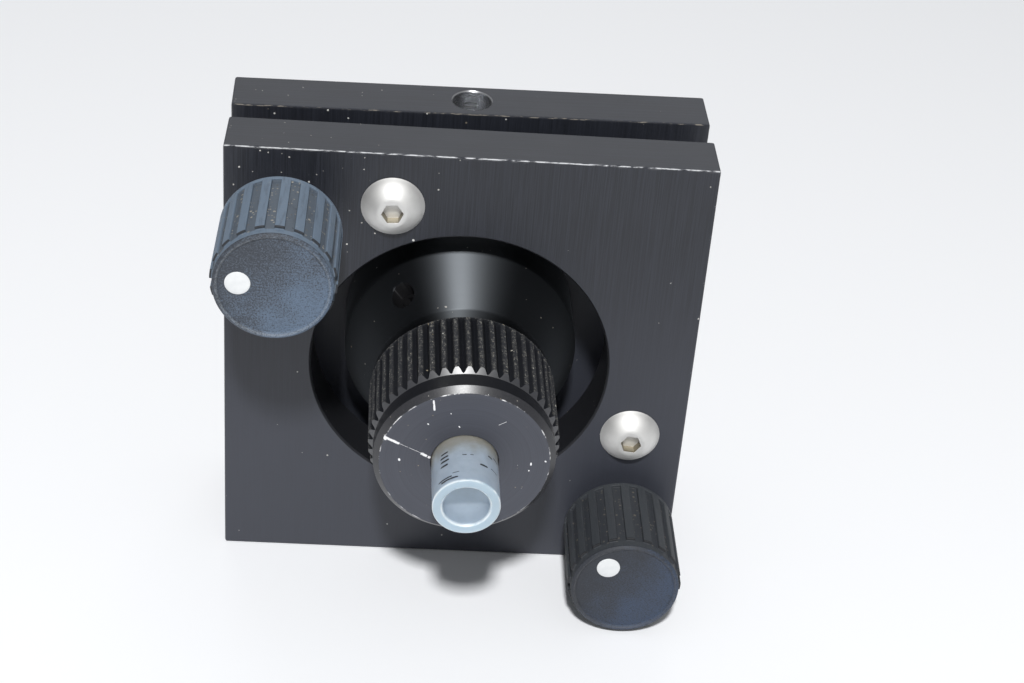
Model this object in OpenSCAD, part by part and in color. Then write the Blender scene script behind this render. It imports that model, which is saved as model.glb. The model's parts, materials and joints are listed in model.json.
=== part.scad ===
// Two-plate tilt mount that holds and turns an optical fibre, in millimetres.
// X runs to the right, Y to the back and Z up. The origin is the mouth of the post hole, in the
// middle of the base plate's bottom edge. The stage plate is tilted as the two adjusters set it.

/* [Plates] */
// Side of both square plates
plate_side = 50.8; // [48:0.1:60]
// Thickness of the base plate, which carries the knobs
base_t = 6.6; // [6:0.1:9]
// Thickness of the stage plate, which carries the hub
stage_t = 6.15; // [5.5:0.05:8]
// Gap between the plates where the pivot ball holds them apart
plate_gap = 4; // [3.6:0.1:4.6]
// Diameter of the round window in the base plate
window_d = 32.2; // [30:0.1:34]
// Chamfer along the edges of both plates
edge_chamfer = 0.25; // [0.1:0.05:0.6]
// Diameter of the tapped post hole in the base plate's bottom edge
post_hole_d = 3.5; // [2.5:0.1:4.2]
// Depth of the post hole
post_hole_depth = 7; // [5:0.25:7.5]
// Diameter of the tapped clamp hole in the stage plate's top edge
clamp_hole_d = 4.2; // [3:0.1:4.6]
// Length of the set screw in the clamp hole
clamp_screw_len = 5; // [3:0.25:8]
// Length of the soft tip between the clamp screw and the hub
clamp_tip_len = 1.5; // [1:0.25:3]

/* [Pivot and adjusters] */
// Distance of the pivot and of both adjusters from the plates' edges
corner_inset = 6.35; // [5.5:0.05:7]
// Diameter of the pivot ball and of both ball tips
ball_d = 4.76; // [4.7:0.02:5.2]
// Diameter of the hard seats that the balls bear on
seat_d = 7.2; // [6:0.1:9]
// Thickness of the hard seats
seat_t = 3; // [2.5:0.1:4]
// Angle between the two flanks of the groove seat
groove_angle = 120; // [110:1:130]
// How far the left adjuster is backed off from where the plates are parallel
left_backed_off = 0.9; // [-0.8:0.05:1.2]
// How far the right adjuster is screwed in from where the plates are parallel
right_advanced = 1.85; // [-1.2:0.05:2.2]
// Diameter of the adjuster screws
thread_d = 4.76; // [4:0.02:5]
// Length of the adjuster screws
adjuster_len = 20; // [17:0.25:26]
// Outer diameter of the bushings that the adjuster screws run in
bushing_d = 7.2; // [6:0.1:9]
// Thickness of the base plate left in front of each bushing
bushing_web = 1.5; // [1:0.1:2.5]

/* [Knobs] */
// Diameter of a knob over its ridges
knob_d = 12.36; // [11:0.02:13]
// Diameter of a knob's smooth front ring and between its ridges
knob_ring_d = 11.74; // [10:0.02:12.2]
// Length of a knob
knob_len = 11.1; // [10:0.1:14]
// Length of the smooth front ring
knob_ring_len = 1.1; // [0.6:0.1:2.5]
// Number of ridges around a knob
ridge_count = 20; // [12:1:24]
// Width of one ridge
ridge_w = 0.95; // [0.5:0.05:1.3]
// Depth of the bore that takes the adjuster screw
knob_bore_depth = 8.5; // [7:0.1:9.4]
// Gap between the left adjuster screw's end and the bottom of its knob's bore
left_knob_lift = 0.76; // [0.05:0.01:2]
// Gap between the right adjuster screw's end and the bottom of its knob's bore
right_knob_lift = 0.11; // [0.05:0.01:2]
// Width of the raised rim around a knob's face
rim_w = 0.5; // [0.3:0.05:1]
// Depth of the dish inside the rim
dish_depth = 0.25; // [0.1:0.05:0.6]
// Diameter of the white dot on a knob's face
dot_d = 2.5; // [1.5:0.1:3]
// Thickness of the white dot
dot_t = 0.5; // [0.3:0.05:1]
// How far the dot stands proud of the dish
dot_proud = 0.1; // [0.05:0.05:0.3]
// Distance of the dot from the knob's axis
dot_offset = 3.4; // [2:0.05:4]
// Angle of the left dot, counted from the right and upwards
left_dot_angle = 177; // [0:1:359]
// Angle of the right dot, counted from the right and upwards
right_dot_angle = 127; // [0:1:359]

/* [Hub] */
// Diameter of the hub, which fits the stage plate's bore
hub_d = 25.4; // [24:0.1:28]
// Length of the hub's straight part in front of the stage plate
hub_straight = 7.1; // [5.5:0.1:9]
// Length of the hub's tapered part
hub_taper = 6.3; // [5:0.1:8]
// Diameter of the hub's front end
hub_nose_d = 19.2; // [18:0.1:21]
// Diameter of the hub's lock screw
lock_screw_d = 2.6; // [2:0.1:3.4]
// How far the lock screw lies below the tapered surface
lock_recess = 1; // [0.4:0.1:1.6]
// Angle of the lock screw, counted from the top and to the left
lock_angle = 37; // [0:1:90]
// Outer diameter of the bearing bush in the hub
bush_d = 16.4; // [15.4:0.1:17.4]
// Length of the bearing bush
bush_len = 16; // [12:0.25:18]

/* [Spindle and collar] */
// Diameter of the spindle's journal, which turns in the bush
journal_d = 14; // [13:0.1:14.8]
// Diameter of the spindle's flange, in front of the hub
flange_d = 17.2; // [16.6:0.1:18.6]
// Thickness of the spindle's flange
flange_t = 1.75; // [1:0.05:3]
// Diameter of the spindle where the collar sits
collar_seat_d = 15.2; // [13:0.1:16.4]
// Diameter of the knurled collar
collar_d = 19.8; // [19:0.1:23]
// Length of the knurled collar
collar_len = 9.35; // [7:0.05:14]
// Chamfer at the collar's front edge
collar_chamfer = 0.57; // [0.2:0.01:1]
// Number of grooves in the knurl
knurl_count = 48; // [36:1:60]
// Depth of the knurl's grooves
knurl_depth = 0.5; // [0.2:0.05:0.8]
// Share of the collar's rim that the knurl's flat lands keep
knurl_land = 0.36; // [0.2:0.02:0.6]
// Diameter of the spindle's pilot inside the nose cap
pilot_d = 12; // [10:0.1:13]
// Length of the spindle's pilot
pilot_len = 1.5; // [1:0.1:1.8]
// Diameter of the plain nose cap
nose_d = 18.8; // [17.5:0.1:19.4]
// Length of the nose cap
nose_len = 2.5; // [2.3:0.1:4]
// Chamfer at the nose cap's front edge
nose_chamfer = 0.65; // [0.2:0.05:0.9]
// Diameter of the thrust washer behind the hub
thrust_d = 19; // [17.5:0.1:22]
// Thickness of the thrust washer
thrust_t = 0.6; // [0.4:0.05:1.2]
// Diameter of the retaining ring
ring_d = 16.6; // [15.6:0.1:18]
// Thickness of the retaining ring
ring_t = 0.8; // [0.5:0.05:1.5]
// Depth of the spindle's groove for the retaining ring
ring_groove = 0.7; // [0.4:0.05:1]
// Angle of the gap in the retaining ring
ring_gap_angle = 50; // [30:1:80]
// Length of the spindle behind the retaining ring
spindle_tail = 0.9; // [0.6:0.1:3]

/* [Sleeve] */
// Outer diameter of the milky sleeve
sleeve_d = 6.85; // [5.5:0.05:7.5]
// Bore of the sleeve, where the fibre goes through
sleeve_bore_d = 4.7; // [3:0.05:5]
// Length of the sleeve
sleeve_len = 41; // [36:0.5:60]
// How far the sleeve stands out of the nose cap
sleeve_out = 7.1; // [3:0.1:14]
// Outer diameter of the liner between the sleeve and the spindle
liner_d = 8.6; // [8:0.1:9.4]

/* [Springs] */
// Distance of the spring screws from the nearest edge of the plates
spring_edge_inset = 6; // [5.6:0.05:7]
// Distance of the spring screws from the plates' middle lines
spring_across = 8; // [7.5:0.05:9]
// Diameter of the spring screws
spring_screw_d = 3.5; // [2.8:0.1:4]
// Diameter of the spring screws' button heads
head_d = 6.65; // [5.5:0.05:7.5]
// Height of the button heads
head_h = 1.85; // [1.4:0.05:2.2]
// Diameter of the flat on top of a button head
head_flat_d = 3.2; // [2.6:0.05:3.8]
// Width across the flats of the heads' hexagon sockets
head_socket_af = 1.98; // [1.5:0.02:2.2]
// Depth of the heads' hexagon sockets
head_socket_depth = 1.1; // [0.6:0.05:1.3]
// Diameter of the clearance holes in the stage plate
spring_hole_d = 5.2; // [4.8:0.1:5.6]
// Diameter of the spring pockets in the stage plate's back
pocket_d = 9; // [8.4:0.1:9.6]
// Thickness of the stage plate left in front of a spring pocket
pocket_floor = 1.95; // [1.5:0.05:2.5]
// Room between the stage plate's back and the washers when the plates are parallel
spring_room = 2.8; // [2.6:0.1:6]
// Diameter of the spring wire
spring_wire = 0.7; // [0.5:0.05:0.8]
// Diameter of a spring, to the middle of its wire
spring_coil_d = 6.6; // [6:0.1:7.2]
// Turns of a spring
spring_turns = 3.5; // [2.5:0.5:4]
// Diameter of the spring washers
washer_d = 7.8; // [7.4:0.1:8.8]
// Thickness of the spring washers
washer_t = 0.8; // [0.5:0.05:1.2]
// Width across the flats of the spring nuts
nut_af = 6.35; // [6:0.01:8.4]
// Thickness of the spring nuts
nut_t = 2; // [1.6:0.01:3.5]
// Length of the spring screws behind the nuts
screw_tail = 0.8; // [0.6:0.1:4]

/* [Fits] */
// Radial clearance of pieces that turn or slide in each other
run_gap = 0.04; // [0.02:0.01:0.08]
// Clearance of pieces that are fixed in each other
fit_gap = 0.02; // [0.01:0.01:0.05]
// Clearance between a ball and its seat
seat_gap = 0.04; // [0.02:0.01:0.06]

/* [Hidden] */
$fn = 96;
black = [0.13, 0.13, 0.15];
slate = [0.27, 0.31, 0.39];
steel = [0.72, 0.72, 0.74];
bronze = [0.66, 0.5, 0.28];
milky = [0.82, 0.87, 0.93];

// Length by which a cut runs past the face that it opens
cut = 1;
mid_z = plate_side / 2;
base_front = -base_t / 2;
base_back = base_t / 2;
stage_front = base_back + plate_gap;
stage_back = stage_front + stage_t;
stage_mid = stage_front + stage_t / 2;

// Places on the plates, from their middle: to the right and up
leg = plate_side - 2 * corner_inset;
pivot_place = [leg / 2, leg / 2];
left_place = [-leg / 2, leg / 2];
right_place = [leg / 2, -leg / 2];
spring_out = plate_side / 2 - spring_edge_inset;
top_place = [-spring_across, spring_out];
side_place = [spring_out, -spring_across];

// The balls and the tilt of the stage that they set
ball_r = ball_d / 2;
thread_r = thread_d / 2;
seat_r = seat_d / 2;
pivot_y = base_back + plate_gap / 2;
pivot_point = [pivot_place.x, pivot_y, mid_z + pivot_place.y];
left_tip_y = pivot_y - left_backed_off;
right_tip_y = pivot_y + right_advanced;
yaw = atan(left_backed_off / leg);
pitch = atan(right_advanced * cos(yaw) / leg);
flat_y = pivot_y + ball_r + seat_gap;
groove_y = pivot_y + (ball_r + seat_gap) / sin(groove_angle / 2);
screw_end_set = ball_r / 2;

// Sizes of a knob
knob_r = knob_d / 2;
knob_ring_r = knob_ring_d / 2;
knob_edge = rim_w / 2;

// Places along the hub's axis, from the back to the front
hub_r = hub_d / 2;
bush_r = bush_d / 2;
journal_r = journal_d / 2;
hub_rim = stage_front - hub_straight;
hub_front = hub_rim - hub_taper;
lock_y = (hub_rim + hub_front) / 2;
lock_r = lock_screw_d / 2;
lock_surface = (hub_r + hub_nose_d / 2) / 2;
flange_back = hub_front - run_gap;
flange_front = flange_back - flange_t;
collar_front = flange_front - collar_len;
collar_r = collar_d / 2;
collar_seat_r = collar_seat_d / 2;
pilot_front = collar_front - pilot_len;
nose_front = collar_front - nose_len;
thrust_front = stage_back + run_gap;
ring_front = thrust_front + thrust_t;
ring_back = ring_front + ring_t;
ring_inner_r = journal_r - ring_groove;
spindle_end = ring_back + fit_gap + spindle_tail;
sleeve_r = sleeve_d / 2;
sleeve_front = nose_front - sleeve_out;
liner_r = liner_d / 2;

// The spring screws, with what they carry behind the stage plate
spring_screw_r = spring_screw_d / 2;
washer_y = stage_back + spring_room;
nut_y = washer_y + washer_t;
spring_screw_end = nut_y + nut_t + screw_tail;
spring_floor = stage_front + pocket_floor;
spring_coil_r = spring_coil_d / 2;
wire_r = spring_wire / 2;
wire_sides = 6;
rings_per_turn = 8;
spring_end_gap = 0.05;

// A point or a direction of the level stage, as the tilt turns it
function tilted(v) =
    let (y = v.y * cos(pitch) - v.z * sin(pitch), z = v.y * sin(pitch) + v.z * cos(pitch))
    [v.x * cos(yaw) - y * sin(yaw), v.x * sin(yaw) + y * cos(yaw), z];
function posed(p) = pivot_point + tilted(p - pivot_point);

// Length of a spring, from its pocket's floor to its washer, which stands square to the base
spring_axis = tilted([0, 1, 0]);
spring_slope = sqrt(1 - spring_axis.y * spring_axis.y) / spring_axis.y;
function spring_len(place) =
    let (floor_y = posed([place.x, spring_floor, mid_z + place.y]).y)
    (washer_y - floor_y) / spring_axis.y - (spring_coil_r + wire_r) * spring_slope - spring_end_gap;

// Middle line of a spring that stands on Z, with straight ends one wire thick
spring_rings = round(spring_turns * rings_per_turn);
function spring_spot(len, i) =
    let (turn = 360 * i / rings_per_turn, rise = (len - 2 * spring_wire) / spring_rings)
    [spring_coil_r * cos(turn), spring_coil_r * sin(turn), spring_wire + rise * i];
function spring_line(len) = concat(
    [spring_spot(len, 0) - [0, 0, spring_wire]],
    [for (i = [0:spring_rings]) spring_spot(len, i)],
    [spring_spot(len, spring_rings) + [0, 0, spring_wire]]
);
function unit(v) = v / norm(v);
function wire_ring(line, i) =
    let (
        last = len(line) - 1,
        ahead = unit(line[min(i + 1, last)] - line[max(i - 1, 0)]),
        out = unit([line[i].x, line[i].y, 0]),
        side = unit(cross(ahead, out)),
        up = cross(side, ahead)
    )
    [for (k = [0:wire_sides - 1]) let (a = 360 * k / wire_sides)
        line[i] + wire_r * (cos(a) * up + sin(a) * side)];

// Least gap between two turns of a spring, on the points of its middle line
function spring_gap(len) =
    let (line = spring_line(len), last = len(line) - 1, apart = rings_per_turn / 2)
    min([for (i = [0:last - apart]) for (j = [i + apart:last])
        norm(line[i] - line[j])]) - spring_wire;
echo(top_spring_gap = spring_gap(spring_len(top_place)));
echo(side_spring_gap = spring_gap(spring_len(side_place)));

// Round stock along Y
module rod(radius, from_y, to_y) {
    translate([0, from_y, 0])
        rotate([-90, 0, 0])
            cylinder(r = radius, h = to_y - from_y);
}

module pipe(outer_r, inner_r, from_y, to_y) {
    difference() {
        rod(outer_r, from_y, to_y);
        rod(inner_r, from_y - cut, to_y + cut);
    }
}

// Hexagon along Y, given across its flats
module hex_rod(across, from_y, to_y) {
    translate([0, from_y, 0])
        rotate([-90, 0, 0])
            cylinder(d = across / cos(30), h = to_y - from_y, $fn = 6);
}

// Solid of revolution about Y, from points of radius and Y
module turned(outline) {
    rotate([-90, 0, 0])
        rotate_extrude()
            polygon(outline);
}

// Moves a piece that is drawn on the Y axis to its place on the plates
module at_place(place) {
    translate([place.x, 0, mid_z + place.y])
        children();
}

module on_axis() {
    at_place([0, 0])
        children();
}

// Tilts what the stage carries about the pivot ball
module on_stage() {
    translate(pivot_point)
        rotate([pitch, 0, yaw])
            translate(-pivot_point)
                children();
}

module chamfered_rectangle(w, h, c) {
    polygon([
        [c - w / 2, -h / 2], [w / 2 - c, -h / 2], [w / 2, c - h / 2], [w / 2, h / 2 - c],
        [w / 2 - c, h / 2], [c - w / 2, h / 2], [-w / 2, h / 2 - c], [-w / 2, c - h / 2]
    ]);
}

// Square plate that stands on Z = 0, with its thickness about Y = 0
module square_plate(t) {
    intersection() {
        linear_extrude(plate_side)
            chamfered_rectangle(plate_side, t, edge_chamfer);
        translate([0, t / 2, mid_z])
            rotate([90, 0, 0])
                linear_extrude(t)
                    chamfered_rectangle(plate_side, plate_side, edge_chamfer);
        translate([-plate_side / 2, 0, mid_z])
            rotate([90, 0, 90])
                linear_extrude(plate_side)
                    chamfered_rectangle(t, plate_side, edge_chamfer);
    }
}

module base_plate() {
    color(black)
        difference() {
            square_plate(base_t);
            on_axis()
                rod(window_d / 2, base_front - cut, base_back + cut);
            for (place = [left_place, right_place]) {
                at_place(place)
                    rod(thread_r + 2 * run_gap, base_front - cut, base_back);
                at_place(place)
                    rod(bushing_d / 2 + fit_gap, base_front + bushing_web, base_back + cut);
            }
            for (place = [top_place, side_place])
                at_place(place)
                    rod(spring_screw_r + fit_gap, base_front - cut, base_back + cut);
            at_place(pivot_place)
                rod(seat_r + fit_gap, base_back - seat_t, base_back + cut);
            translate([0, 0, -cut])
                cylinder(d = post_hole_d, h = post_hole_depth + cut);
        }
}

module base_pivot_cup() {
    color(steel)
        difference() {
            at_place(pivot_place)
                rod(seat_r, base_back - seat_t, base_back);
            translate(pivot_point)
                sphere(r = ball_r + seat_gap);
        }
}

module bushing(place) {
    color(bronze)
        at_place(place)
            pipe(bushing_d / 2, thread_r + run_gap, base_front + bushing_web, base_back);
}

// Button-head screw with the dome of a sphere, its flat and its hexagon socket
module spring_screw(place) {
    head_top = base_front - head_h;
    head_r = head_d / 2;
    flat_r = head_flat_d / 2;
    dome_back = (head_r * head_r - flat_r * flat_r - head_h * head_h) / (2 * head_h);
    dome_r = sqrt(head_r * head_r + dome_back * dome_back);
    color(steel)
        at_place(place)
            difference() {
                union() {
                    intersection() {
                        rod(head_r, head_top, base_front);
                        translate([0, base_front + dome_back, 0])
                            sphere(r = dome_r);
                    }
                    rod(spring_screw_r, base_front - head_h / 2, spring_screw_end);
                }
                hex_rod(head_socket_af, head_top - cut, head_top + head_socket_depth);
            }
}

module spring_washer(place) {
    color(steel)
        at_place(place)
            pipe(washer_d / 2, spring_screw_r + fit_gap, washer_y, washer_y + washer_t);
}

module spring_nut(place) {
    color(steel)
        at_place(place)
            difference() {
                hex_rod(nut_af, nut_y, nut_y + nut_t);
                rod(spring_screw_r + fit_gap, nut_y - cut, nut_y + nut_t + cut);
            }
}

module pivot_ball() {
    color(steel)
        translate(pivot_point)
            sphere(r = ball_r);
}

module stage_plate() {
    color(black)
        on_stage()
            difference() {
                translate([0, stage_mid, 0])
                    square_plate(stage_t);
                on_axis()
                    rod(hub_r + fit_gap, stage_front - cut, stage_back + cut);
                for (place = [pivot_place, left_place])
                    at_place(place)
                        rod(seat_r + fit_gap, stage_front - cut, stage_front + seat_t);
                at_place(right_place)
                    rod(seat_r + fit_gap, stage_front - cut, flat_y + seat_t);
                for (place = [top_place, side_place]) {
                    at_place(place)
                        rod(spring_hole_d / 2, stage_front - cut, stage_back);
                    at_place(place)
                        rod(pocket_d / 2, spring_floor, stage_back + cut);
                }
                translate([0, stage_mid, mid_z])
                    cylinder(d = clamp_hole_d, h = plate_side);
            }
}

module stage_pivot_cup() {
    color(steel)
        on_stage()
            difference() {
                at_place(pivot_place)
                    rod(seat_r, stage_front, stage_front + seat_t);
                translate(pivot_point)
                    sphere(r = ball_r + seat_gap);
            }
}

// Hard seat with a groove that points at the pivot ball
module groove_pad() {
    groove_depth = groove_y - stage_front + cut;
    groove_half_w = groove_depth * tan(groove_angle / 2);
    color(steel)
        on_stage()
            at_place(left_place)
                difference() {
                    rod(seat_r, stage_front, stage_front + seat_t);
                    translate([-seat_d, groove_y, 0])
                        rotate([90, 0, 90])
                            linear_extrude(2 * seat_d)
                                polygon([
                                    [0, 0], [-groove_depth, groove_half_w],
                                    [-groove_depth, -groove_half_w]
                                ]);
                }
}

module flat_pad() {
    color(steel)
        on_stage()
            at_place(right_place)
                rod(seat_r, flat_y, flat_y + seat_t);
}

// Compression spring as one unbroken wire
module spring(place) {
    line = spring_line(spring_len(place));
    count = len(line);
    points = [for (i = [0:count - 1]) each wire_ring(line, i)];
    top = (count - 1) * wire_sides;
    walls = [for (i = [0:count - 2]) for (k = [0:wire_sides - 1])
        let (a = i * wire_sides + k, b = i * wire_sides + (k + 1) % wire_sides)
        each [[a, a + wire_sides, b], [b, a + wire_sides, b + wire_sides]]];
    caps = [for (k = [1:wire_sides - 2])
        each [[0, k, k + 1], [top, top + k + 1, top + k]]];
    color(steel)
        on_stage()
            at_place(place)
                translate([0, spring_floor, 0])
                    rotate([-90, 0, 0])
                        polyhedron(points = points, faces = concat(walls, caps));
}

// Set screw in the stage plate's top edge, and the soft tip that it presses on the hub
module clamp_screw() {
    low = mid_z + hub_r + fit_gap + clamp_tip_len;
    socket_af = clamp_hole_d / 2;
    color(steel)
        on_stage()
            translate([0, stage_mid, low])
                difference() {
                    cylinder(r = clamp_hole_d / 2 - fit_gap, h = clamp_screw_len);
                    translate([0, 0, clamp_screw_len / 2])
                        cylinder(d = socket_af / cos(30), h = clamp_screw_len, $fn = 6);
                }
}

module clamp_tip() {
    color(milky)
        on_stage()
            translate([0, stage_mid, mid_z + hub_r + fit_gap])
                cylinder(r = clamp_hole_d / 2 - fit_gap, h = clamp_tip_len);
}

// Turns a piece that is drawn on Z to the lock screw's direction
module at_lock() {
    translate([0, lock_y, mid_z])
        rotate([0, -lock_angle, 0])
            children();
}

module hub() {
    inner_r = bush_r + fit_gap;
    color(black)
        on_stage()
            difference() {
                on_axis()
                    turned([
                        [inner_r, stage_back], [hub_r, stage_back], [hub_r, hub_rim],
                        [hub_nose_d / 2, hub_front], [inner_r, hub_front]
                    ]);
                at_lock()
                    cylinder(r = lock_r + fit_gap, h = hub_d);
            }
}

module hub_lock_screw() {
    tip = journal_r + 2 * run_gap;
    lock_len = lock_surface - lock_recess - tip;
    socket_af = lock_screw_d / 2;
    color(steel)
        on_stage()
            at_lock()
                translate([0, 0, tip])
                    difference() {
                        cylinder(r = lock_r, h = lock_len);
                        translate([0, 0, lock_len / 2])
                            cylinder(d = socket_af / cos(30), h = lock_len, $fn = 6);
                    }
}

module bearing_bush() {
    color(bronze)
        on_stage()
            difference() {
                on_axis()
                    pipe(bush_r, journal_r + run_gap, hub_front, hub_front + bush_len);
                at_lock()
                    cylinder(r = lock_r + fit_gap, h = hub_d);
            }
}

module spindle() {
    bore_r = liner_r + fit_gap;
    color(black)
        on_stage()
            on_axis()
                turned([
                    [bore_r, pilot_front], [pilot_d / 2, pilot_front], [pilot_d / 2, collar_front],
                    [collar_seat_r, collar_front], [collar_seat_r, flange_front],
                    [flange_d / 2, flange_front], [flange_d / 2, flange_back],
                    [journal_r, flange_back], [journal_r, ring_front],
                    [ring_inner_r, ring_front], [ring_inner_r, ring_back + fit_gap],
                    [journal_r, ring_back + fit_gap], [journal_r, spindle_end], [bore_r, spindle_end]
                ]);
}

// Outline of the straight knurl: flat lands with a groove between each two
module knurl_outline() {
    root_r = collar_r - knurl_depth;
    tooth = [[-knurl_land / 2, collar_r], [knurl_land / 2, collar_r], [1 / 2, root_r]];
    polygon([for (i = [0:knurl_count - 1]) for (spot = tooth)
        let (a = 360 * (i + spot[0]) / knurl_count)
        spot[1] * [cos(a), sin(a)]]);
}

module collar() {
    color(black)
        on_stage()
            on_axis()
                difference() {
                    intersection() {
                        translate([0, collar_front, 0])
                            rotate([-90, 0, 0])
                                linear_extrude(collar_len)
                                    knurl_outline();
                        turned([
                            [0, collar_front], [collar_r - collar_chamfer, collar_front],
                            [collar_r + fit_gap, collar_front + collar_chamfer + fit_gap],
                            [collar_r + fit_gap, flange_front], [0, flange_front]
                        ]);
                    }
                    rod(collar_seat_r + fit_gap, collar_front - cut, flange_front + cut);
                }
}

module nose_cap() {
    nose_r = nose_d / 2;
    hole_r = sleeve_r + 2 * run_gap;
    pilot_hole_r = pilot_d / 2 + fit_gap;
    color(black)
        on_stage()
            on_axis()
                turned([
                    [hole_r, nose_front], [nose_r - nose_chamfer, nose_front],
                    [nose_r, nose_front + nose_chamfer], [nose_r, collar_front],
                    [pilot_hole_r, collar_front], [pilot_hole_r, pilot_front - fit_gap],
                    [hole_r, pilot_front - fit_gap]
                ]);
}

module liner() {
    color(milky)
        on_stage()
            on_axis()
                pipe(liner_r, sleeve_r + run_gap, pilot_front, spindle_end);
}

module thrust_washer() {
    color(bronze)
        on_stage()
            on_axis()
                pipe(thrust_d / 2, journal_r + fit_gap, thrust_front, ring_front);
}

// Open spring ring in the spindle's groove
module retaining_ring() {
    half_gap = ring_gap_angle / 2;
    color(steel)
        on_stage()
            on_axis()
                difference() {
                    pipe(ring_d / 2, ring_inner_r + fit_gap, ring_front, ring_back);
                    translate([0, ring_back + cut, 0])
                        rotate([90, 0, 0])
                            linear_extrude(ring_t + 2 * cut)
                                polygon([[0, 0], ring_d * [sin(half_gap), -cos(half_gap)],
                                    ring_d * [-sin(half_gap), -cos(half_gap)]]);
                }
}

module sleeve() {
    color(milky, 0.8)
        on_stage()
            on_axis()
                pipe(sleeve_r, sleeve_bore_d / 2, sleeve_front, sleeve_front + sleeve_len);
}

module ball_tip(place, tip_y) {
    color(steel)
        at_place(place)
            translate([0, tip_y, 0])
                sphere(r = ball_r);
}

// Fine-threaded screw with a cup at its end for the ball tip
module adjuster_screw(place, tip_y) {
    screw_end = tip_y - screw_end_set;
    color(steel)
        at_place(place)
            difference() {
                rod(thread_r, screw_end - adjuster_len, screw_end);
                translate([0, tip_y, 0])
                    sphere(r = ball_r + seat_gap);
            }
}

// Turns and moves what belongs to a knob, drawn with the knob's base at Y = 0
module at_knob(place, tip_y, lift, dot_angle) {
    bore_end = tip_y - screw_end_set - adjuster_len - lift;
    at_place(place)
        translate([0, bore_end + knob_bore_depth, 0])
            rotate([0, -dot_angle, 0])
                children();
}

module at_left_knob() {
    at_knob(left_place, left_tip_y, left_knob_lift, left_dot_angle)
        children();
}

module at_right_knob() {
    at_knob(right_place, right_tip_y, right_knob_lift, right_dot_angle)
        children();
}

module knob() {
    face = -knob_len;
    dish = face + dish_depth;
    color(slate)
        difference() {
            union() {
                turned([
                    [0, face], [knob_ring_r - knob_edge, face], [knob_ring_r, face + knob_edge],
                    [knob_ring_r, 0], [0, 0]
                ]);
                intersection() {
                    rod(knob_r, face + knob_ring_len, 0);
                    for (i = [0:ridge_count - 1])
                        rotate([0, 360 * i / ridge_count, 0])
                            translate([0, face, -ridge_w / 2])
                                cube([knob_d, knob_len, ridge_w]);
                }
            }
            rod(thread_r + fit_gap, -knob_bore_depth, cut);
            rod(knob_ring_r - rim_w, face - cut, dish);
            translate([dot_offset, 0, 0])
                rod(dot_d / 2 + fit_gap, face, dish + dot_t - dot_proud);
        }
}

module knob_dot() {
    dot_front = dish_depth - knob_len - dot_proud;
    color("white")
        translate([dot_offset, 0, 0])
            rod(dot_d / 2, dot_front, dot_front + dot_t);
}

base_plate();
base_pivot_cup();
bushing(left_place);  // left_bushing
bushing(right_place);  // right_bushing
spring_screw(top_place);  // top_spring_screw
spring_screw(side_place);  // side_spring_screw
spring_washer(top_place);  // top_spring_washer
spring_washer(side_place);  // side_spring_washer
spring_nut(top_place);  // top_spring_nut
spring_nut(side_place);  // side_spring_nut
pivot_ball();
stage_plate();
stage_pivot_cup();
groove_pad();
flat_pad();
spring(top_place);  // top_spring
spring(side_place);  // side_spring
clamp_screw();
clamp_tip();
hub();
hub_lock_screw();
bearing_bush();
spindle();
collar();
nose_cap();
liner();
thrust_washer();
retaining_ring();
sleeve();
ball_tip(left_place, left_tip_y);  // left_ball_tip
adjuster_screw(left_place, left_tip_y);  // left_adjuster_screw
at_left_knob() knob();  // left_knob
at_left_knob() knob_dot();  // left_knob_dot
ball_tip(right_place, right_tip_y);  // right_ball_tip
adjuster_screw(right_place, right_tip_y);  // right_adjuster_screw
at_right_knob() knob();  // right_knob
at_right_knob() knob_dot();  // right_knob_dot
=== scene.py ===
import json
import math
import bpy
from mathutils import Matrix, Vector

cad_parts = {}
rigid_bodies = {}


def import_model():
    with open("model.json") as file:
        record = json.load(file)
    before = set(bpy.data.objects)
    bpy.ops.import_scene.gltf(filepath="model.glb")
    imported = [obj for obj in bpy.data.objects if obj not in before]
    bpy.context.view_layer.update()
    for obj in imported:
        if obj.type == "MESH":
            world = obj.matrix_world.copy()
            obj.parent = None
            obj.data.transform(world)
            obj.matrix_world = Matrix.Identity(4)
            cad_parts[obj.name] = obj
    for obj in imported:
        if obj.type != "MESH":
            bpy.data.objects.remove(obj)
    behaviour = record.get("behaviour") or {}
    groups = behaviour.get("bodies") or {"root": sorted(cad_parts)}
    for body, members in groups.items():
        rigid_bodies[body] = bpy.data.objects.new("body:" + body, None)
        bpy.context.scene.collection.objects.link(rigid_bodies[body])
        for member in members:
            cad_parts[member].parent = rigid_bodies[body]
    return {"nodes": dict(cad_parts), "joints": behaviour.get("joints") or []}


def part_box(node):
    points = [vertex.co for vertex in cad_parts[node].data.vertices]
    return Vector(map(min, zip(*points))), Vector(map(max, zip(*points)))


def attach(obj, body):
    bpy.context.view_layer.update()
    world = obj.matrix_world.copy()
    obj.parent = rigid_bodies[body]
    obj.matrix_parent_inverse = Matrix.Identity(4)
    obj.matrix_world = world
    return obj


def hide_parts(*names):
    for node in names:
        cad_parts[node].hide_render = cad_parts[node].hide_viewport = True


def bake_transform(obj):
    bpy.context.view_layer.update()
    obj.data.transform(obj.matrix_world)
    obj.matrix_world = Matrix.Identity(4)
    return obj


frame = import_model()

startUp = ("Cube", "Light", "Camera")  # Blender's own scene
for spare in [thing for thing in bpy.data.objects if thing.name in startUp]:
    bpy.data.objects.remove(spare)
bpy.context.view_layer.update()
joints = {joint["name"]: joint for joint in frame["joints"]}
bpy.context.scene.view_settings.view_transform = "Standard"
perMetre = 1000  # pieces are shaped in millimetres
past = 0.3  # cutters reach this far past a face

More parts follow.
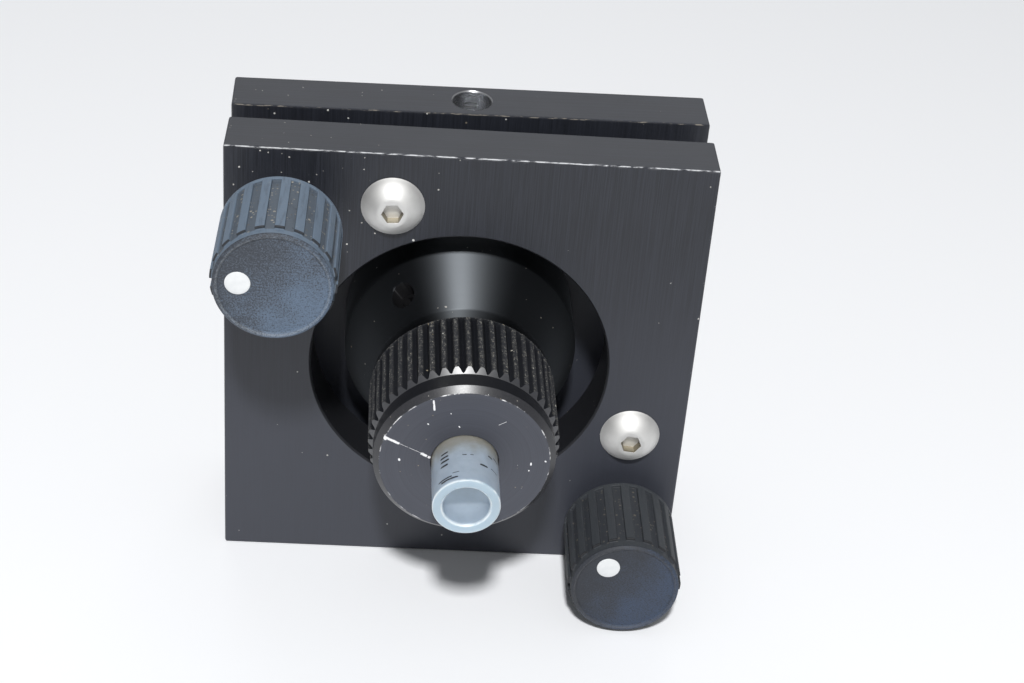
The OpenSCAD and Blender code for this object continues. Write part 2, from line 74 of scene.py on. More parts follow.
# Places: x to the right, y up, z towards the viewer
faceTurn = Matrix.Rotation(math.radians(90), 4, "X")
basePlace = Matrix.Translation(sum(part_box("base_plate"), Vector()) / 2) @ faceTurn
hubBack = Vector(joints["collar_turn"]["axis"]).normalized()
stageUp = Vector(joints["stage_pitch"]["axis"]).cross(hubBack).normalized()
stagePlace = Matrix((hubBack.cross(stageUp), stageUp, -hubBack)).transposed().to_4x4()
stagePlace.translation = Vector(joints["collar_turn"]["pos_m"])  # on the hub's axis, at the stage's front


def localBox(node, place):  # a CAD node's corners in a place
    back = place.inverted()
    spots = [back @ vertex.co * perMetre for vertex in frame["nodes"][node].data.vertices]
    return [Vector([extreme(spot[axis] for spot in spots) for axis in range(3)]) for extreme in (min, max)]


def middle(node, place):
    low, high = localBox(node, place)
    return (low + high) / 2


def at(place, x, y, z=0, turn=0):
    shift = Matrix.Translation((x / perMetre, y / perMetre, z / perMetre))
    return place @ shift @ Matrix.Rotation(turn, 4, "Z")


def over(place, node):  # on a CAD node's own axis
    return at(place, *middle(node, place).xy)


# Modelling: every piece is shaped at the origin, then settled in its place
def deselectAll():
    bpy.ops.object.select_all(action="DESELECT")


def objectMode():
    bpy.ops.object.mode_set(mode="OBJECT")


def editAll():
    bpy.ops.object.mode_set(mode="EDIT")
    bpy.ops.mesh.select_mode(type="VERT")
    bpy.ops.mesh.select_all(action="SELECT")


def leaveEdit():  # with all faces outwards
    bpy.ops.mesh.select_all(action="SELECT")
    bpy.ops.mesh.normals_make_consistent(inside=False)
    objectMode()


def fillHoles():
    bpy.ops.mesh.select_all(action="SELECT")
    bpy.ops.mesh.fill_holes(sides=0)


def lathe(rings, sides=96, hollow=True):
    deselectAll()
    bpy.ops.mesh.primitive_circle_add(vertices=sides, radius=rings[0][0])
    piece = bpy.context.object
    editAll()
    bpy.ops.transform.translate(value=(0, 0, rings[0][1]))
    for (radius, height), (nextRadius, nextHeight) in zip(rings, rings[1:]):
        bpy.ops.mesh.extrude_edges_move(TRANSFORM_OT_translate={"value": (0, 0, nextHeight - height)})
        grow = nextRadius / radius
        bpy.ops.transform.resize(value=(grow, grow, 1), center_override=(0, 0, nextHeight))
    if hollow:
        bpy.ops.mesh.select_all(action="DESELECT")
        bpy.ops.mesh.select_non_manifold()
        bpy.ops.mesh.bridge_edge_loops()
    else:
        fillHoles()
    leaveEdit()
    return piece


def rod(radius, low, high, sides=64):
    return lathe([(radius, high), (radius, low)], sides, False)


def tube(node, place, size):  # a bored ring between a CAD node's ends
    low, high = localBox(node, place)
    bore, radius = size["bore"], size["radius"]
    return lathe([(bore, high.z), (radius, high.z), (radius, low.z), (bore, low.z)], size["sides"])


def threadRod(radius, depth, pitch, low, high, steps=32):
    spareTurns = 2
    deselectAll()
    bpy.ops.mesh.primitive_plane_add(size=1)
    piece = bpy.context.object
    editAll()
    bpy.ops.mesh.merge(type="CENTER")
    bpy.ops.transform.translate(value=(radius - depth, 0, low - spareTurns * pitch))
    for out, up in ((0, 0.12), (depth, 0.36), (0, 0.16), (-depth, 0.36)):  # one thread's outline, in pitches
        bpy.ops.mesh.extrude_vertices_move(TRANSFORM_OT_translate={"value": (out, 0, up * pitch)})
    objectMode()
    turns = int((high - low) / pitch) + 2 * spareTurns + 1
    applyModifier(piece, "SCREW", axis="Z", screw_offset=pitch, iterations=turns, steps=steps,
                  render_steps=steps, use_merge_vertices=True, merge_threshold=0.0005)
    editAll()
    bpy.ops.mesh.remove_doubles(threshold=0.001)
    for height, side in ((low, -1), (high, 1)):
        bpy.ops.mesh.select_all(action="SELECT")
        bpy.ops.mesh.bisect(plane_co=(0, 0, height), plane_no=(0, 0, side), use_fill=True, clear_outer=True)
    leaveEdit()
    return piece


def hexCorner(across):
    return across / 2 / math.cos(math.pi / 6)


def hexRod(across, low, high):
    deselectAll()
    bpy.ops.mesh.primitive_cylinder_add(vertices=6, radius=hexCorner(across), depth=high - low)
    editAll()
    bpy.ops.transform.translate(value=(0, 0, (low + high) / 2))
    objectMode()
    return bpy.context.object


def ball(radius, cuts=15):
    deselectAll()
    bpy.ops.mesh.primitive_cube_add(size=2 * radius)
    editAll()
    bpy.ops.mesh.subdivide(number_cuts=cuts)
    bpy.ops.transform.tosphere(value=1, center_override=(0, 0, 0))
    objectMode()
    piece = bpy.context.object
    size = max(vertex.co.length for vertex in piece.data.vertices)
    bpy.ops.object.mode_set(mode="EDIT")
    bpy.ops.transform.resize(value=(radius / size,) * 3, center_override=(0, 0, 0))
    objectMode()
    return piece


def squarePlate(low, high, edge, finishes):
    deselectAll()
    bpy.ops.mesh.primitive_cube_add(size=1)
    piece = bpy.context.object
    dress(piece, *finishes)
    editAll()
    bpy.ops.transform.resize(value=high - low, center_override=(0, 0, 0))
    bpy.ops.transform.translate(value=(low + high) / 2)
    bpy.ops.mesh.bevel(offset=edge, segments=2, affect="EDGES", material=1)
    objectMode()
    return piece


def pick(piece, kind, test):  # select in edit mode what passes the test
    bpy.ops.object.mode_set(mode="EDIT")
    bpy.ops.mesh.select_mode(type=kind)
    bpy.ops.mesh.select_all(action="DESELECT")
    objectMode()
    if kind == "VERT":
        for vertex in piece.data.vertices:
            vertex.select = test(vertex.co)
    else:
        for face in piece.data.polygons:
            face.select = test(face)
    bpy.ops.object.mode_set(mode="EDIT")


def makeActive(piece):
    deselectAll()
    piece.select_set(True)
    bpy.context.view_layer.objects.active = piece


def applyModifier(piece, kind, **values):
    makeActive(piece)
    modifier = piece.modifiers.new(kind.title(), kind)
    for name, value in values.items():
        setattr(modifier, name, value)
    bpy.ops.object.modifier_apply(modifier=modifier.name)


def cutWith(piece, cutter, spot=(0, 0, 0), turn=(0, 0, 0), finish=None, operation="DIFFERENCE"):
    cutter.location = spot
    cutter.rotation_euler = [math.radians(angle) for angle in turn]
    bpy.context.view_layer.update()
    cutter.data.materials.append(finish or piece.data.materials[0])
    applyModifier(piece, "BOOLEAN", operation=operation, solver="EXACT", object=cutter, material_mode="TRANSFER")
    bpy.data.objects.remove(cutter)


def drill(piece, spot, rings, sides=64):
    cutWith(piece, lathe(rings, sides, False), (spot.x, spot.y, 0), finish=boreBlack)


def mouth(radius, face, side, edge):  # a hole's chamfered end, side 1 at the front and -1 at the back
    return [(radius + edge + past, face + side * past), (radius, face - side * edge)][::side]


def soften(piece, width, segments=2, angle=30, smooth=40):
    if width:
        applyModifier(piece, "BEVEL", width=width, segments=segments, limit_method="ANGLE",
                      angle_limit=math.radians(angle), use_clamp_overlap=True)
    makeActive(piece)
    bpy.ops.object.shade_smooth_by_angle(angle=math.radians(smooth))
    applyModifier(piece, "WEIGHTED_NORMAL", keep_sharp=True)


def joinTo(piece, other):
    makeActive(piece)
    other.select_set(True)
    bpy.ops.object.join()


def dress(piece, *finishes):
    for finish in finishes:
        piece.data.materials.append(finish)


def trim(piece, edge, finish):
    soften(piece, edge)
    dress(piece, finish)


def settle(piece, name, node, place, body):
    piece.matrix_world = place @ Matrix.Scale(1 / perMetre, 4)
    makeActive(piece)
    bpy.ops.object.transform_apply(location=True, rotation=True, scale=True)
    piece.name = piece.data.name = name
    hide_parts(node)
    if body:
        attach(piece, body)


def copyPiece(piece):
    twin = piece.copy()
    twin.data = piece.data.copy()
    bpy.context.scene.collection.objects.link(twin)
    return twin


def settlePair(piece, sides, name, node, height=0, turns=(0, 0)):  # a copy takes the second side
    for item, (side, spot), turn in ((copyPiece(piece), sides[1], turns[1]), (piece, sides[0], turns[0])):
        settle(item, side + name, side + node, at(basePlace, spot.x, spot.y, height, turn), "base")


# Shader helpers
def put(kind, inputs, tree=None, **props):  # in a tree, or beside the sockets that feed it
    sockets = [value for value in inputs.values() if isinstance(value, bpy.types.NodeSocket)]
    tree = tree or sockets[0].id_data
    node = tree.nodes.new("ShaderNode" + kind)
    for name, value in props.items():
        setattr(node, name, value)
    for key, value in inputs.items():
        if isinstance(value, bpy.types.NodeSocket):
            tree.links.new(value, node.inputs[key])
        else:
            node.inputs[key].default_value = value
    return node


def calc(operation, first, second=0.0):
    return put("Math", {0: first, 1: second}, operation=operation).outputs[0]


def times(first, *others):
    for other in others:
        first = calc("MULTIPLY", first, other)
    return first


def plus(first, second):
    return calc("ADD", first, second)


def minus(first, second):
    return calc("SUBTRACT", first, second)


def most(first, *others):
    for other in others:
        first = calc("MAXIMUM", first, other)
    return first


def rise(value, low, high):  # smooth step from 0 to 1
    return put("MapRange", {"Value": value, "From Min": low, "From Max": high},
               interpolation_type="SMOOTHSTEP").outputs[0]


def fall(value, low, high):  # smooth step from 1 to 0
    return minus(1.0, rise(value, low, high))


def nearFront(height, front, depths):
    return rise(height, front - depths[0], front - depths[1])


def span(value, low, high):  # value from 0 to 1 laid between two others
    return put("MapRange", {"Value": value, "To Min": low, "To Max": high}).outputs[0]


def vector(operation, first, second):
    outputs = put("VectorMath", {0: first, 1: second}, operation=operation).outputs
    return outputs[1 if operation in ("DOT_PRODUCT", "DISTANCE") else 0]


def stretch(first, factor):
    return put("VectorMath", {0: first, 3: factor}, operation="SCALE").outputs[0]


def split(value):
    return put("SeparateXYZ", {0: value}).outputs


def flatten(spot):
    return vector("MULTIPLY", spot, (1.0, 1.0, 0.0))


def offAxis(spot):  # distance from the local z axis
    return put("VectorMath", {0: flatten(spot)}, operation="LENGTH").outputs[1]


def noise(spot, scale, detail=2.0, rough=0.5):
    return put("TexNoise", {"Vector": spot, "Scale": scale, "Detail": detail, "Roughness": rough}).outputs[0]


def bump(height, strength, distance):
    return put("Bump", {"Strength": strength, "Distance": distance, "Height": height}).outputs[0]


def mixColour(share, first, second):
    return put("Mix", {0: share, 6: first, 7: second}, data_type="RGBA").outputs[2]


def rgb(red, green, blue):
    return (red, green, blue, 1.0)


def newMaterial(name):
    material = bpy.data.materials.new(name)
    material.use_nodes = True
    return material, material.node_tree.nodes["Principled BSDF"]


def newFinish(name, place):  # with the spot in millimetres in the piece's own frame
    material, shader = newMaterial(name)
    where = put("TexCoord", {}, shader.id_data).outputs["Object"]
    mapping = {"Vector": where, "Location": place.translation, "Rotation": place.to_euler(),
               "Scale": (1 / perMetre,) * 3}
    return material, shader, put("Mapping", mapping, vector_type="TEXTURE").outputs[0]


def setShader(shader, **values):
    for name, value in values.items():
        shader.inputs[name.replace("_", " ")].default_value = value


def feed(shader, **links):
    for name, socket in links.items():
        shader.id_data.links.new(socket, shader.inputs[name.replace("_", " ")])


def drawAround(shader):  # highlights follow the turning marks
    tangent = put("Tangent", {}, shader.id_data, direction_type="RADIAL", axis="Y")
    feed(shader, Tangent=tangent.outputs[0])


def newGroup(name, inputs, outputs):
    group = bpy.data.node_groups.new(name, "ShaderNodeTree")
    for label, value in inputs.items():
        kind = "NodeSocketVector" if isinstance(value, tuple) else "NodeSocketFloat"
        group.interface.new_socket(label, in_out="INPUT", socket_type=kind).default_value = value
    for label in outputs:
        group.interface.new_socket(label, in_out="OUTPUT", socket_type="NodeSocketFloat")
    return group, group.nodes.new("NodeGroupInput").outputs, group.nodes.new("NodeGroupOutput").inputs


def useGroup(group, spot, **inputs):
    return put("Group", {"Spot": spot, **inputs}, node_tree=group).outputs


# Dust: round specks in a share of the cells of a scattered grid
origin = (0.0, 0.0, 0.0)
dustInputs = {"Spot": origin, "Cell": 1.0, "Share": 0.1, "Size": 0.2, "Seed": 0.0}
dustGroup, given, gives = newGroup("dustSpecks", dustInputs, ("Mask", "Tone"))
seedShift = put("CombineXYZ", {0: given["Seed"], 1: given["Seed"]}).outputs[0]
moved = vector("ADD", stretch(given["Spot"], calc("DIVIDE", 1.0, given["Cell"])), seedShift)
cells = put("TexVoronoi", {"Vector": moved, "Scale": 1.0})
parts = put("SeparateColor", {0: cells.outputs["Color"]}).outputs
ragged = times(minus(noise(moved, 9.0), 0.5), given["Size"])
reach = times(given["Size"], span(parts[1], 0.35, 1.0))
away = plus(cells.outputs["Distance"], ragged)
inside = fall(calc("DIVIDE", away, reach), 0.6, 1.0)
kept = calc("LESS_THAN", parts[0], given["Share"])
dustGroup.links.new(times(inside, kept), gives["Mask"])
dustGroup.links.new(parts[2], gives["Tone"])

# Grain: noise stretched along one way, as brushing or rolling leaves it
grainInputs = {"Spot": origin, "Stretch": (1.0, 1.0, 1.0), "Detail": 4.0}
grainGroup, given, gives = newGroup("brushGrain", grainInputs, ("Value",))
drawn = vector("MULTIPLY", given["Spot"], given["Stretch"])
grainGroup.links.new(noise(drawn, 1.0, given["Detail"], 0.62), gives["Value"])

# Turning marks: fine rings about the local z axis
turnGroup, given, gives = newGroup("turningMarks", {"Spot": origin, "Fineness": 6.0}, ("Value",))
radius, height = offAxis(given["Spot"]), split(given["Spot"])[2]
ringSpot = put("CombineXYZ", {0: times(radius, given["Fineness"]),
                                    1: times(height, given["Fineness"])}).outputs[0]
turnGroup.links.new(noise(ringSpot, 1.0, 3.0), gives["Value"])

# Scratch: a line between two spots, with a ragged edge and breaks
scratchInputs = {"Spot": origin, "From": origin, "To": (1.0, 0.0, 0.0), "Width": 0.1, "Breaks": 0.3}
scratchGroup, given, gives = newGroup("scratchLine", scratchInputs, ("Mask",))
fromStart = vector("SUBTRACT", given["Spot"], given["From"])
whole = vector("SUBTRACT", given["To"], given["From"])
along = calc("DIVIDE", vector("DOT_PRODUCT", fromStart, whole), vector("DOT_PRODUCT", whole, whole))
nearest = stretch(whole, put("Clamp", {0: along}).outputs[0])
offLine = vector("DISTANCE", fromStart, nearest)
ragged = noise(given["Spot"], 3.0, 3.0)
reach = times(given["Width"], span(ragged, 0.2, 1.6))
inside = fall(calc("DIVIDE", offLine, reach), 0.5, 1.0)
unbroken = rise(ragged, given["Breaks"], plus(given["Breaks"], 0.12))
scratchGroup.links.new(times(inside, unbroken), gives["Mask"])


# Black plates: brushed faces, rolled edges, dust towards the upper left
plateLook = {"brushed": (9.0, 0.14, 1.0), "rolled": (0.09, 2.0, 5.0), "lines": (0.3, 0.72), "clouds": (0.1, 4.0),
             "dark": rgb(0.0095, 0.011, 0.0155), "light": rgb(0.0205, 0.023, 0.032),
             "paintedReflection": rgb(0.047, 0.051, 0.066), "paintedReflectionHeights": (20.0, -14.0), "paintedReflectionShare": 0.7,
             "topDark": rgb(0.026, 0.029, 0.038), "topLight": rgb(0.04, 0.044, 0.056), "facingUp": (0.6, 0.8),
             "topShare": 0.7, "dustAcross": (10.0, -20.0), "dustUp": (4.0, 22.0),
             "fine": {"Cell": 0.7, "Size": 0.2}, "fineShare": (0.02, 0.3),
             "lumps": {"Cell": 3.1, "Size": 0.055, "Seed": 7.0}, "lumpShare": (0.06, 0.4),
             "dustDark": rgb(0.2, 0.17, 0.13), "dustLight": rgb(0.6, 0.6, 0.58),
             "rough": (0.34, 0.48), "cloudRough": 0.08, "bump": (0.2, 0.00003)}
edgeLook = {"runs": (1.2, 5.0, 5.0), "runDetail": 6.0, "deepUp": (0.3, 0.2), "deepFront": (0.32, 0.2),
            "line": (0.04, 0.15), "restFrom": 0.66, "restTo": 0.72, "restShare": 0.5}


def plateBlack(name, place, corner, wear=None):
    look = plateLook
    material, shader, spot = newFinish(name, place)
    where = split(spot)
    facing = split(put("TexCoord", {}, shader.id_data).outputs["Normal"])
    top = rise(calc("ABSOLUTE", facing[2]), *look["facingUp"])
    brushed = useGroup(grainGroup, spot, Stretch=look["brushed"])[0]
    rolled = useGroup(grainGroup, spot, Stretch=look["rolled"])[0]
    lines = put("Mix", {0: top, 2: brushed, 3: rolled}).outputs[0]
    drawn = rise(lines, *look["lines"])
    body = mixColour(drawn, look["dark"], look["light"])
    # painted reflection of the floor: the plates' colour lighter towards the bottom
    paintedReflection = times(rise(where[1], *look["paintedReflectionHeights"]), look["paintedReflectionShare"])
    body = mixColour(paintedReflection, body, look["paintedReflection"])
    topColour = mixColour(drawn, look["topDark"], look["topLight"])
    body = mixColour(times(top, look["topShare"]), body, topColour)
    upperLeft = times(rise(where[0], *look["dustAcross"]), rise(where[1], *look["dustUp"]))
    fine = useGroup(dustGroup, spot, Share=span(upperLeft, *look["fineShare"]), **look["fine"])
    lumps = useGroup(dustGroup, spot, Share=span(upperLeft, *look["lumpShare"]), **look["lumps"])
    dustColour = mixColour(fine[1], look["dustDark"], look["dustLight"])
    colour = mixColour(most(fine[0], lumps[0]), body, dustColour)
    if wear:  # bare metal, mostly along the upper front edge
        runs = useGroup(grainGroup, spot, Stretch=edgeLook["runs"], Detail=edgeLook["runDetail"])[0]
        upper = times(nearFront(where[1], corner.y, edgeLook["deepUp"]),
                      nearFront(where[2], corner.z, edgeLook["deepFront"]))
        across = minus(minus(where[1], where[2]), corner.y - corner.z)
        thin = fall(calc("ABSOLUTE", across), *edgeLook["line"])
        bare = rise(runs, span(upper, edgeLook["restFrom"], wear["from"]),
                    span(upper, edgeLook["restTo"], wear["to"]))
        bare = times(bare, span(upper, edgeLook["restShare"], thin))
        colour = mixColour(bare, colour, wear["colour"])
    clouds = times(noise(spot, *look["clouds"]), look["cloudRough"])
    feed(shader, Base_Color=colour, Roughness=plus(span(lines, *look["rough"]), clouds),
         Normal=bump(lines, *look["bump"]))
    return material


# Turned pieces: black ones with dust, bare metals, and a milky plastic
turnedLook = {"fine": {"Cell": 0.8, "Size": 0.13, "Seed": 4.0}, "lumps": {"Cell": 2.4, "Size": 0.07, "Seed": 9.0},
              "dustDark": rgb(0.22, 0.18, 0.13), "dustLight": rgb(0.5, 0.5, 0.48), "glossTurn": 0.25,
              "sides": (0.12, 0.5), "bump": (0.15, 0.00002)}
metalLook = {"clouds": (0.9, 4.0), "bump": (0.1, 0.00002)}
milkLook = {"clouds": (0.8, 4.0), "lighter": 1.18, "rough": (0.3, 0.45), "weight": 0.5,
            "radius": (0.0012, 0.0014, 0.0018)}


def turnedBlack(name, place, dark, light, rough, dustShare, fineness=6.0, gloss=None, paintedSideShade=0):
    look = turnedLook
    material, shader, spot = newFinish(name, place)
    marks = useGroup(turnGroup, spot, Fineness=fineness)[0]
    fine = useGroup(dustGroup, spot, Share=dustShare, **look["fine"])
    lumps = useGroup(dustGroup, spot, Share=dustShare, **look["lumps"])
    dustColour = mixColour(lumps[1], look["dustDark"], look["dustLight"])
    if gloss:
        setShader(shader, Anisotropic_Rotation=look["glossTurn"], **gloss)
        drawAround(shader)
    if paintedSideShade:  # painted shade: metallic raised on the sides makes them darker than the top
        outwards = put("VectorMath", {0: flatten(spot)}, operation="NORMALIZE").outputs[0]
        sideShadeMask = rise(calc("ABSOLUTE", split(outwards)[0]), *look["sides"])
        feed(shader, Metallic=times(sideShadeMask, paintedSideShade))
    body = mixColour(marks, dark, light)
    feed(shader, Base_Color=mixColour(most(fine[0], lumps[0]), body, dustColour),
         Roughness=span(marks, *rough), Normal=bump(marks, *look["bump"]))
    return material


def metal(name, place, dark, light, rough, fineness=8.0):
    material, shader, spot = newFinish(name, place)
    marks = useGroup(turnGroup, spot, Fineness=fineness)[0]
    clouds = noise(spot, *metalLook["clouds"])
    setShader(shader, Metallic=1.0)
    feed(shader, Base_Color=mixColour(clouds, dark, light), Roughness=span(marks, *rough),
         Normal=bump(marks, *metalLook["bump"]))
    return material


def milky(name, place, colour):
    look = milkLook
    material, shader, spot = newFinish(name, place)
    clouds = noise(spot, *look["clouds"])
    lighter = rgb(*[min(1, part * look["lighter"]) for part in colour[:3]])
    setShader(shader, Subsurface_Weight=look["weight"], Subsurface_Radius=look["radius"], Subsurface_Scale=1.0)
    feed(shader, Base_Color=mixColour(clouds, colour, lighter),
         Roughness=span(clouds, *look["rough"]))
    return material


# Nose cap: turned face, dark chamfer, scratches and a worn rim
noseLook = {"rim": 8.75, "rimSoft": (0.02, 0.04), "faceDeep": (0.12, 0.05), "chamferDeep": (0.68, 0.6),
            "fineness": 9.0, "grain": (7.0, 3.0), "side": rgb(0.011, 0.0115, 0.014),
            "faceDark": rgb(0.038, 0.041, 0.053), "faceLight": rgb(0.064, 0.069, 0.088),
            "chamferDark": rgb(0.012, 0.0125, 0.015), "chamferLight": rgb(0.04, 0.04, 0.045),
            "runs": (0.75, 6.0, 0.7), "runShare": (0.49, 0.66), "rimLine": (0.015, 0.07), "rimDeep": (0.2, 0.12),
            "specks": {"Cell": 0.6, "Share": 0.22, "Size": 0.15, "Seed": 5.0},
            "dustDark": rgb(0.2, 0.16, 0.11), "dustLight": rgb(0.55, 0.55, 0.55), "bare": rgb(0.85, 0.85, 0.86),
            "anisotropic": 0.2, "rough": (0.29, 0.5), "grainRough": 0.08, "bump": (0.1, 0.00003),
            "scratches": [  # start, end, width, breaks
                ((-8.35, 3.0), (-6.85, 2.2), 0.2, 0.1), ((-8.4, 3.3), (-8.2, 2.7), 0.2, 0.2),
                ((-6.8, 2.2), (-4.3, 0.94), 0.024, 0.36), ((-4.4, 0.95), (-3.65, 0.5), 0.2, 0.35),
                ((-3.55, 7.7), (-3.42, 6.6), 0.13, 0.35), ((-6.69, 0.15), (-6.65, 0.05), 0.16, 0.1),
                ((-3.97, 4.8), (-3.93, 4.74), 0.1, 0.1), ((-0.83, 4.6), (-0.78, 4.5), 0.1, 0.1),
                ((-1.75, 6.2), (-1.72, 6.15), 0.08, 0.1), ((6.8, 0.15), (6.8, -0.05), 0.11, 0.1),
                ((6.66, -0.8), (6.64, -0.88), 0.08, 0.1), ((8.25, 0.46), (8.3, 0.4), 0.1, 0.1),
                ((3.16, 4.94), (3.9, 5.38), 0.03, 0.35)]}


def noseBlack(name, place, front):
    look = noseLook
    material, shader, spot = newFinish(name, place)
    height, flat, out = split(spot)[2], flatten(spot), offAxis(spot)
    atFront = nearFront(height, front, look["faceDeep"])
    onFace = times(atFront, fall(out, look["rim"] - look["rimSoft"][0], look["rim"] + look["rimSoft"][1]))
    onChamfer = times(nearFront(height, front, look["chamferDeep"]), minus(1.0, onFace))
    marks = useGroup(turnGroup, spot, Fineness=look["fineness"])[0]
    grain = noise(spot, *look["grain"])
    body = mixColour(onFace, look["side"], mixColour(marks, look["faceDark"], look["faceLight"]))
    body = mixColour(onChamfer, body, mixColour(grain, look["chamferDark"], look["chamferLight"]))
    scratches = [useGroup(scratchGroup, flat, From=start + (0.0,), To=end + (0.0,), Width=width,
                          Breaks=breaks)[0] for start, end, width, breaks in look["scratches"]]
    offRim = calc("ABSOLUTE", minus(out, look["rim"]))
    runs = rise(noise(spot, *look["runs"]), *look["runShare"])
    rimWorn = times(fall(offRim, *look["rimLine"]), runs, nearFront(height, front, look["rimDeep"]))
    worn = most(times(most(*scratches), atFront), rimWorn)
    specks = useGroup(dustGroup, spot, **look["specks"])
    dirty = mixColour(specks[0], body, mixColour(specks[1], look["dustDark"], look["dustLight"]))
    setShader(shader, Anisotropic=look["anisotropic"])
    drawAround(shader)
    feed(shader, Base_Color=mixColour(worn, dirty, look["bare"]),
         Roughness=plus(span(onFace, *look["rough"]), times(grain, look["grainRough"])),
         Normal=bump(grain, *look["bump"]))
    return material


# Collar: grooves painted darker than the dusty lands, as shade
knurlLook = {"grit": (4.0, 5.0, 0.75), "gritShare": (0.5, 0.68), "root": rgb(0.0085, 0.0095, 0.0125),
             "landDark": rgb(0.032, 0.0335, 0.038), "landLight": rgb(0.24, 0.232, 0.208), "fineShare": (0.05, 0.75),
             "fine": {"Cell": 0.42, "Share": 0.34, "Size": 0.2, "Seed": 1.0},
             "lumps": {"Cell": 1.5, "Share": 0.4, "Size": 0.12, "Seed": 3.0},
             "dustDark": rgb(0.3, 0.22, 0.11), "dustLight": rgb(0.6, 0.6, 0.56),
             "specular": 0.3, "rough": (0.38, 0.62), "bump": (0.3, 0.00004)}


def knurlBlack(name, place, root, land):
    look = knurlLook
    material, shader, spot = newFinish(name, place)
    proud = rise(offAxis(spot), root, land)
    grit = noise(spot, *look["grit"])
    fine = useGroup(dustGroup, spot, **look["fine"])
    lumps = useGroup(dustGroup, spot, **look["lumps"])
    dusty = mixColour(rise(grit, *look["gritShare"]), look["landDark"], look["landLight"])
    # painted shade: the groove roots coloured darker than the lands
    body = mixColour(proud, look["root"], dusty)
    dust = most(times(fine[0], span(proud, *look["fineShare"])), lumps[0])
    setShader(shader, Specular_IOR_Level=look["specular"])
    feed(shader, Normal=bump(grit, *look["bump"]), Roughness=span(grit, *look["rough"]),
         Base_Color=mixColour(dust, body, mixColour(lumps[1], look["dustDark"], look["dustLight"])))
    return material


# Sleeve: cloudy plastic with a light lip, a tan band of painted shade at the root, a bore painted darker with a
# painted glow, and inked dashes
sleeveLook = {"clouds": (0.9, 5.0), "fineness": 5.0, "dark": rgb(0.27, 0.32, 0.375), "light": rgb(0.4, 0.46, 0.525),
              "lip": rgb(0.37, 0.455, 0.52), "lipDeep": (0.3, 0.1), "lipOut": (2.3, 2.5),
              "edge": rgb(0.62, 0.68, 0.72), "innerEdge": (2.5, 2.62), "outerEdge": (3.3, 3.4),
              "edgeShare": (0.35, 0.55), "paintedRootShade": rgb(0.24, 0.225, 0.18), "paintedRootShadeRagged": 2.2,
              "paintedRootShadeFront": (4.2, 1.3), "paintedRootShadeBack": (-1.6, 0.6), "paintedRootShadeShare": 0.85, "bore": (2.38, 2.46),
              "brown": rgb(0.38, 0.34, 0.25), "brownUp": (0.6, 2.2), "boreShare": 0.6,
              "paintedBoreShade": rgb(0.1, 0.12, 0.14), "paintedBoreDepths": (0.2, 3.5), "paintedBoreGlow": rgb(0.2, 0.24, 0.28),
              "ink": rgb(0.015, 0.014, 0.014), "inkOut": (3.2, 3.35), "inkUp": (0.0, 0.3), "inkWide": 1.7,
              "inkBreaks": 0.15, "specks": {"Cell": 1.2, "Share": 0.15, "Size": 0.07, "Seed": 6.0},
              "speckShare": 0.6, "weight": 0.7, "radius": (0.0022, 0.0026, 0.003), "rough": (0.3, 0.46),
              "bump": (0.15, 0.00004),
              "dashes": [  # height, start, end, width
                  (29.0, -2.45, -2.0, 0.1), (29.6, -2.5, -2.0, 0.12), (30.2, -2.5, -1.95, 0.12),
                  (30.9, -2.5, -2.05, 0.12), (33.0, -2.75, -1.7, 0.09), (33.35, -2.5, -1.1, 0.1),
                  (32.6, -1.5, -0.9, 0.04), (30.04, -0.46, -0.13, 0.05), (30.0, 0.33, 0.6, 0.04),
                  (31.2, 1.38, 1.9, 0.11), (29.24, 2.24, 2.5, 0.09), (28.87, 2.8, 3.1, 0.09),
                  (31.0, 2.43, 2.96, 0.05)]}


def sleevePlastic(name, place, front, root):
    look = sleeveLook
    material, shader, spot = newFinish(name, place)
    where, out = split(spot), offAxis(spot)
    fromAbove = put("CombineXYZ", {0: where[0], 1: where[2]}).outputs[0]
    clouds = noise(spot, *look["clouds"])
    rings = useGroup(turnGroup, spot, Fineness=look["fineness"])[0]
    body = mixColour(clouds, look["dark"], look["light"])
    lip = times(nearFront(where[2], front, look["lipDeep"]), rise(out, *look["lipOut"]))
    body = mixColour(lip, body, look["lip"])
    edges = most(fall(out, *look["innerEdge"]), rise(out, *look["outerEdge"]))
    body = mixColour(times(edges, lip, rise(clouds, *look["edgeShare"])), body, look["edge"])
    # painted shade: a tan band on the sleeve just in front of the nose face
    ragged = minus(plus(where[2], times(clouds, look["paintedRootShadeRagged"])), root)
    rootShadeBand = times(rise(ragged, *look["paintedRootShadeFront"]), rise(ragged, *look["paintedRootShadeBack"]))
    body = mixColour(times(rootShadeBand, look["paintedRootShadeShare"]), body, look["paintedRootShade"])
    inBore = fall(out, *look["bore"])
    # painted shade and painted light: deeper in the bore the colour darkens and the emission glows
    boreShadeAndGlow = times(inBore, nearFront(where[2], front, look["paintedBoreDepths"]))
    browned = times(inBore, rise(where[1], *look["brownUp"]), look["boreShare"])
    body = mixColour(browned, body, look["brown"])
    body = mixColour(times(boreShadeAndGlow, look["boreShare"]), body, look["paintedBoreShade"])
    dashes = [useGroup(scratchGroup, fromAbove, From=(start, height, 0.0), To=(end, height, 0.0),
                       Width=width * look["inkWide"], Breaks=look["inkBreaks"])[0]
              for height, start, end, width in look["dashes"]]
    ink = times(most(*dashes), rise(out, *look["inkOut"]), rise(where[1], *look["inkUp"]))
    specks = times(useGroup(dustGroup, spot, **look["specks"])[0], look["speckShare"])
    body = mixColour(most(ink, specks), body, look["ink"])
    setShader(shader, Subsurface_Weight=look["weight"], Subsurface_Radius=look["radius"], Subsurface_Scale=1.0,
              Emission_Strength=1.0)
    feed(shader, Base_Color=body, Roughness=span(clouds, *look["rough"]),
         Emission_Color=mixColour(boreShadeAndGlow, rgb(0.0, 0.0, 0.0), look["paintedBoreGlow"]),
         Normal=bump(rings, *look["bump"]))
    return material
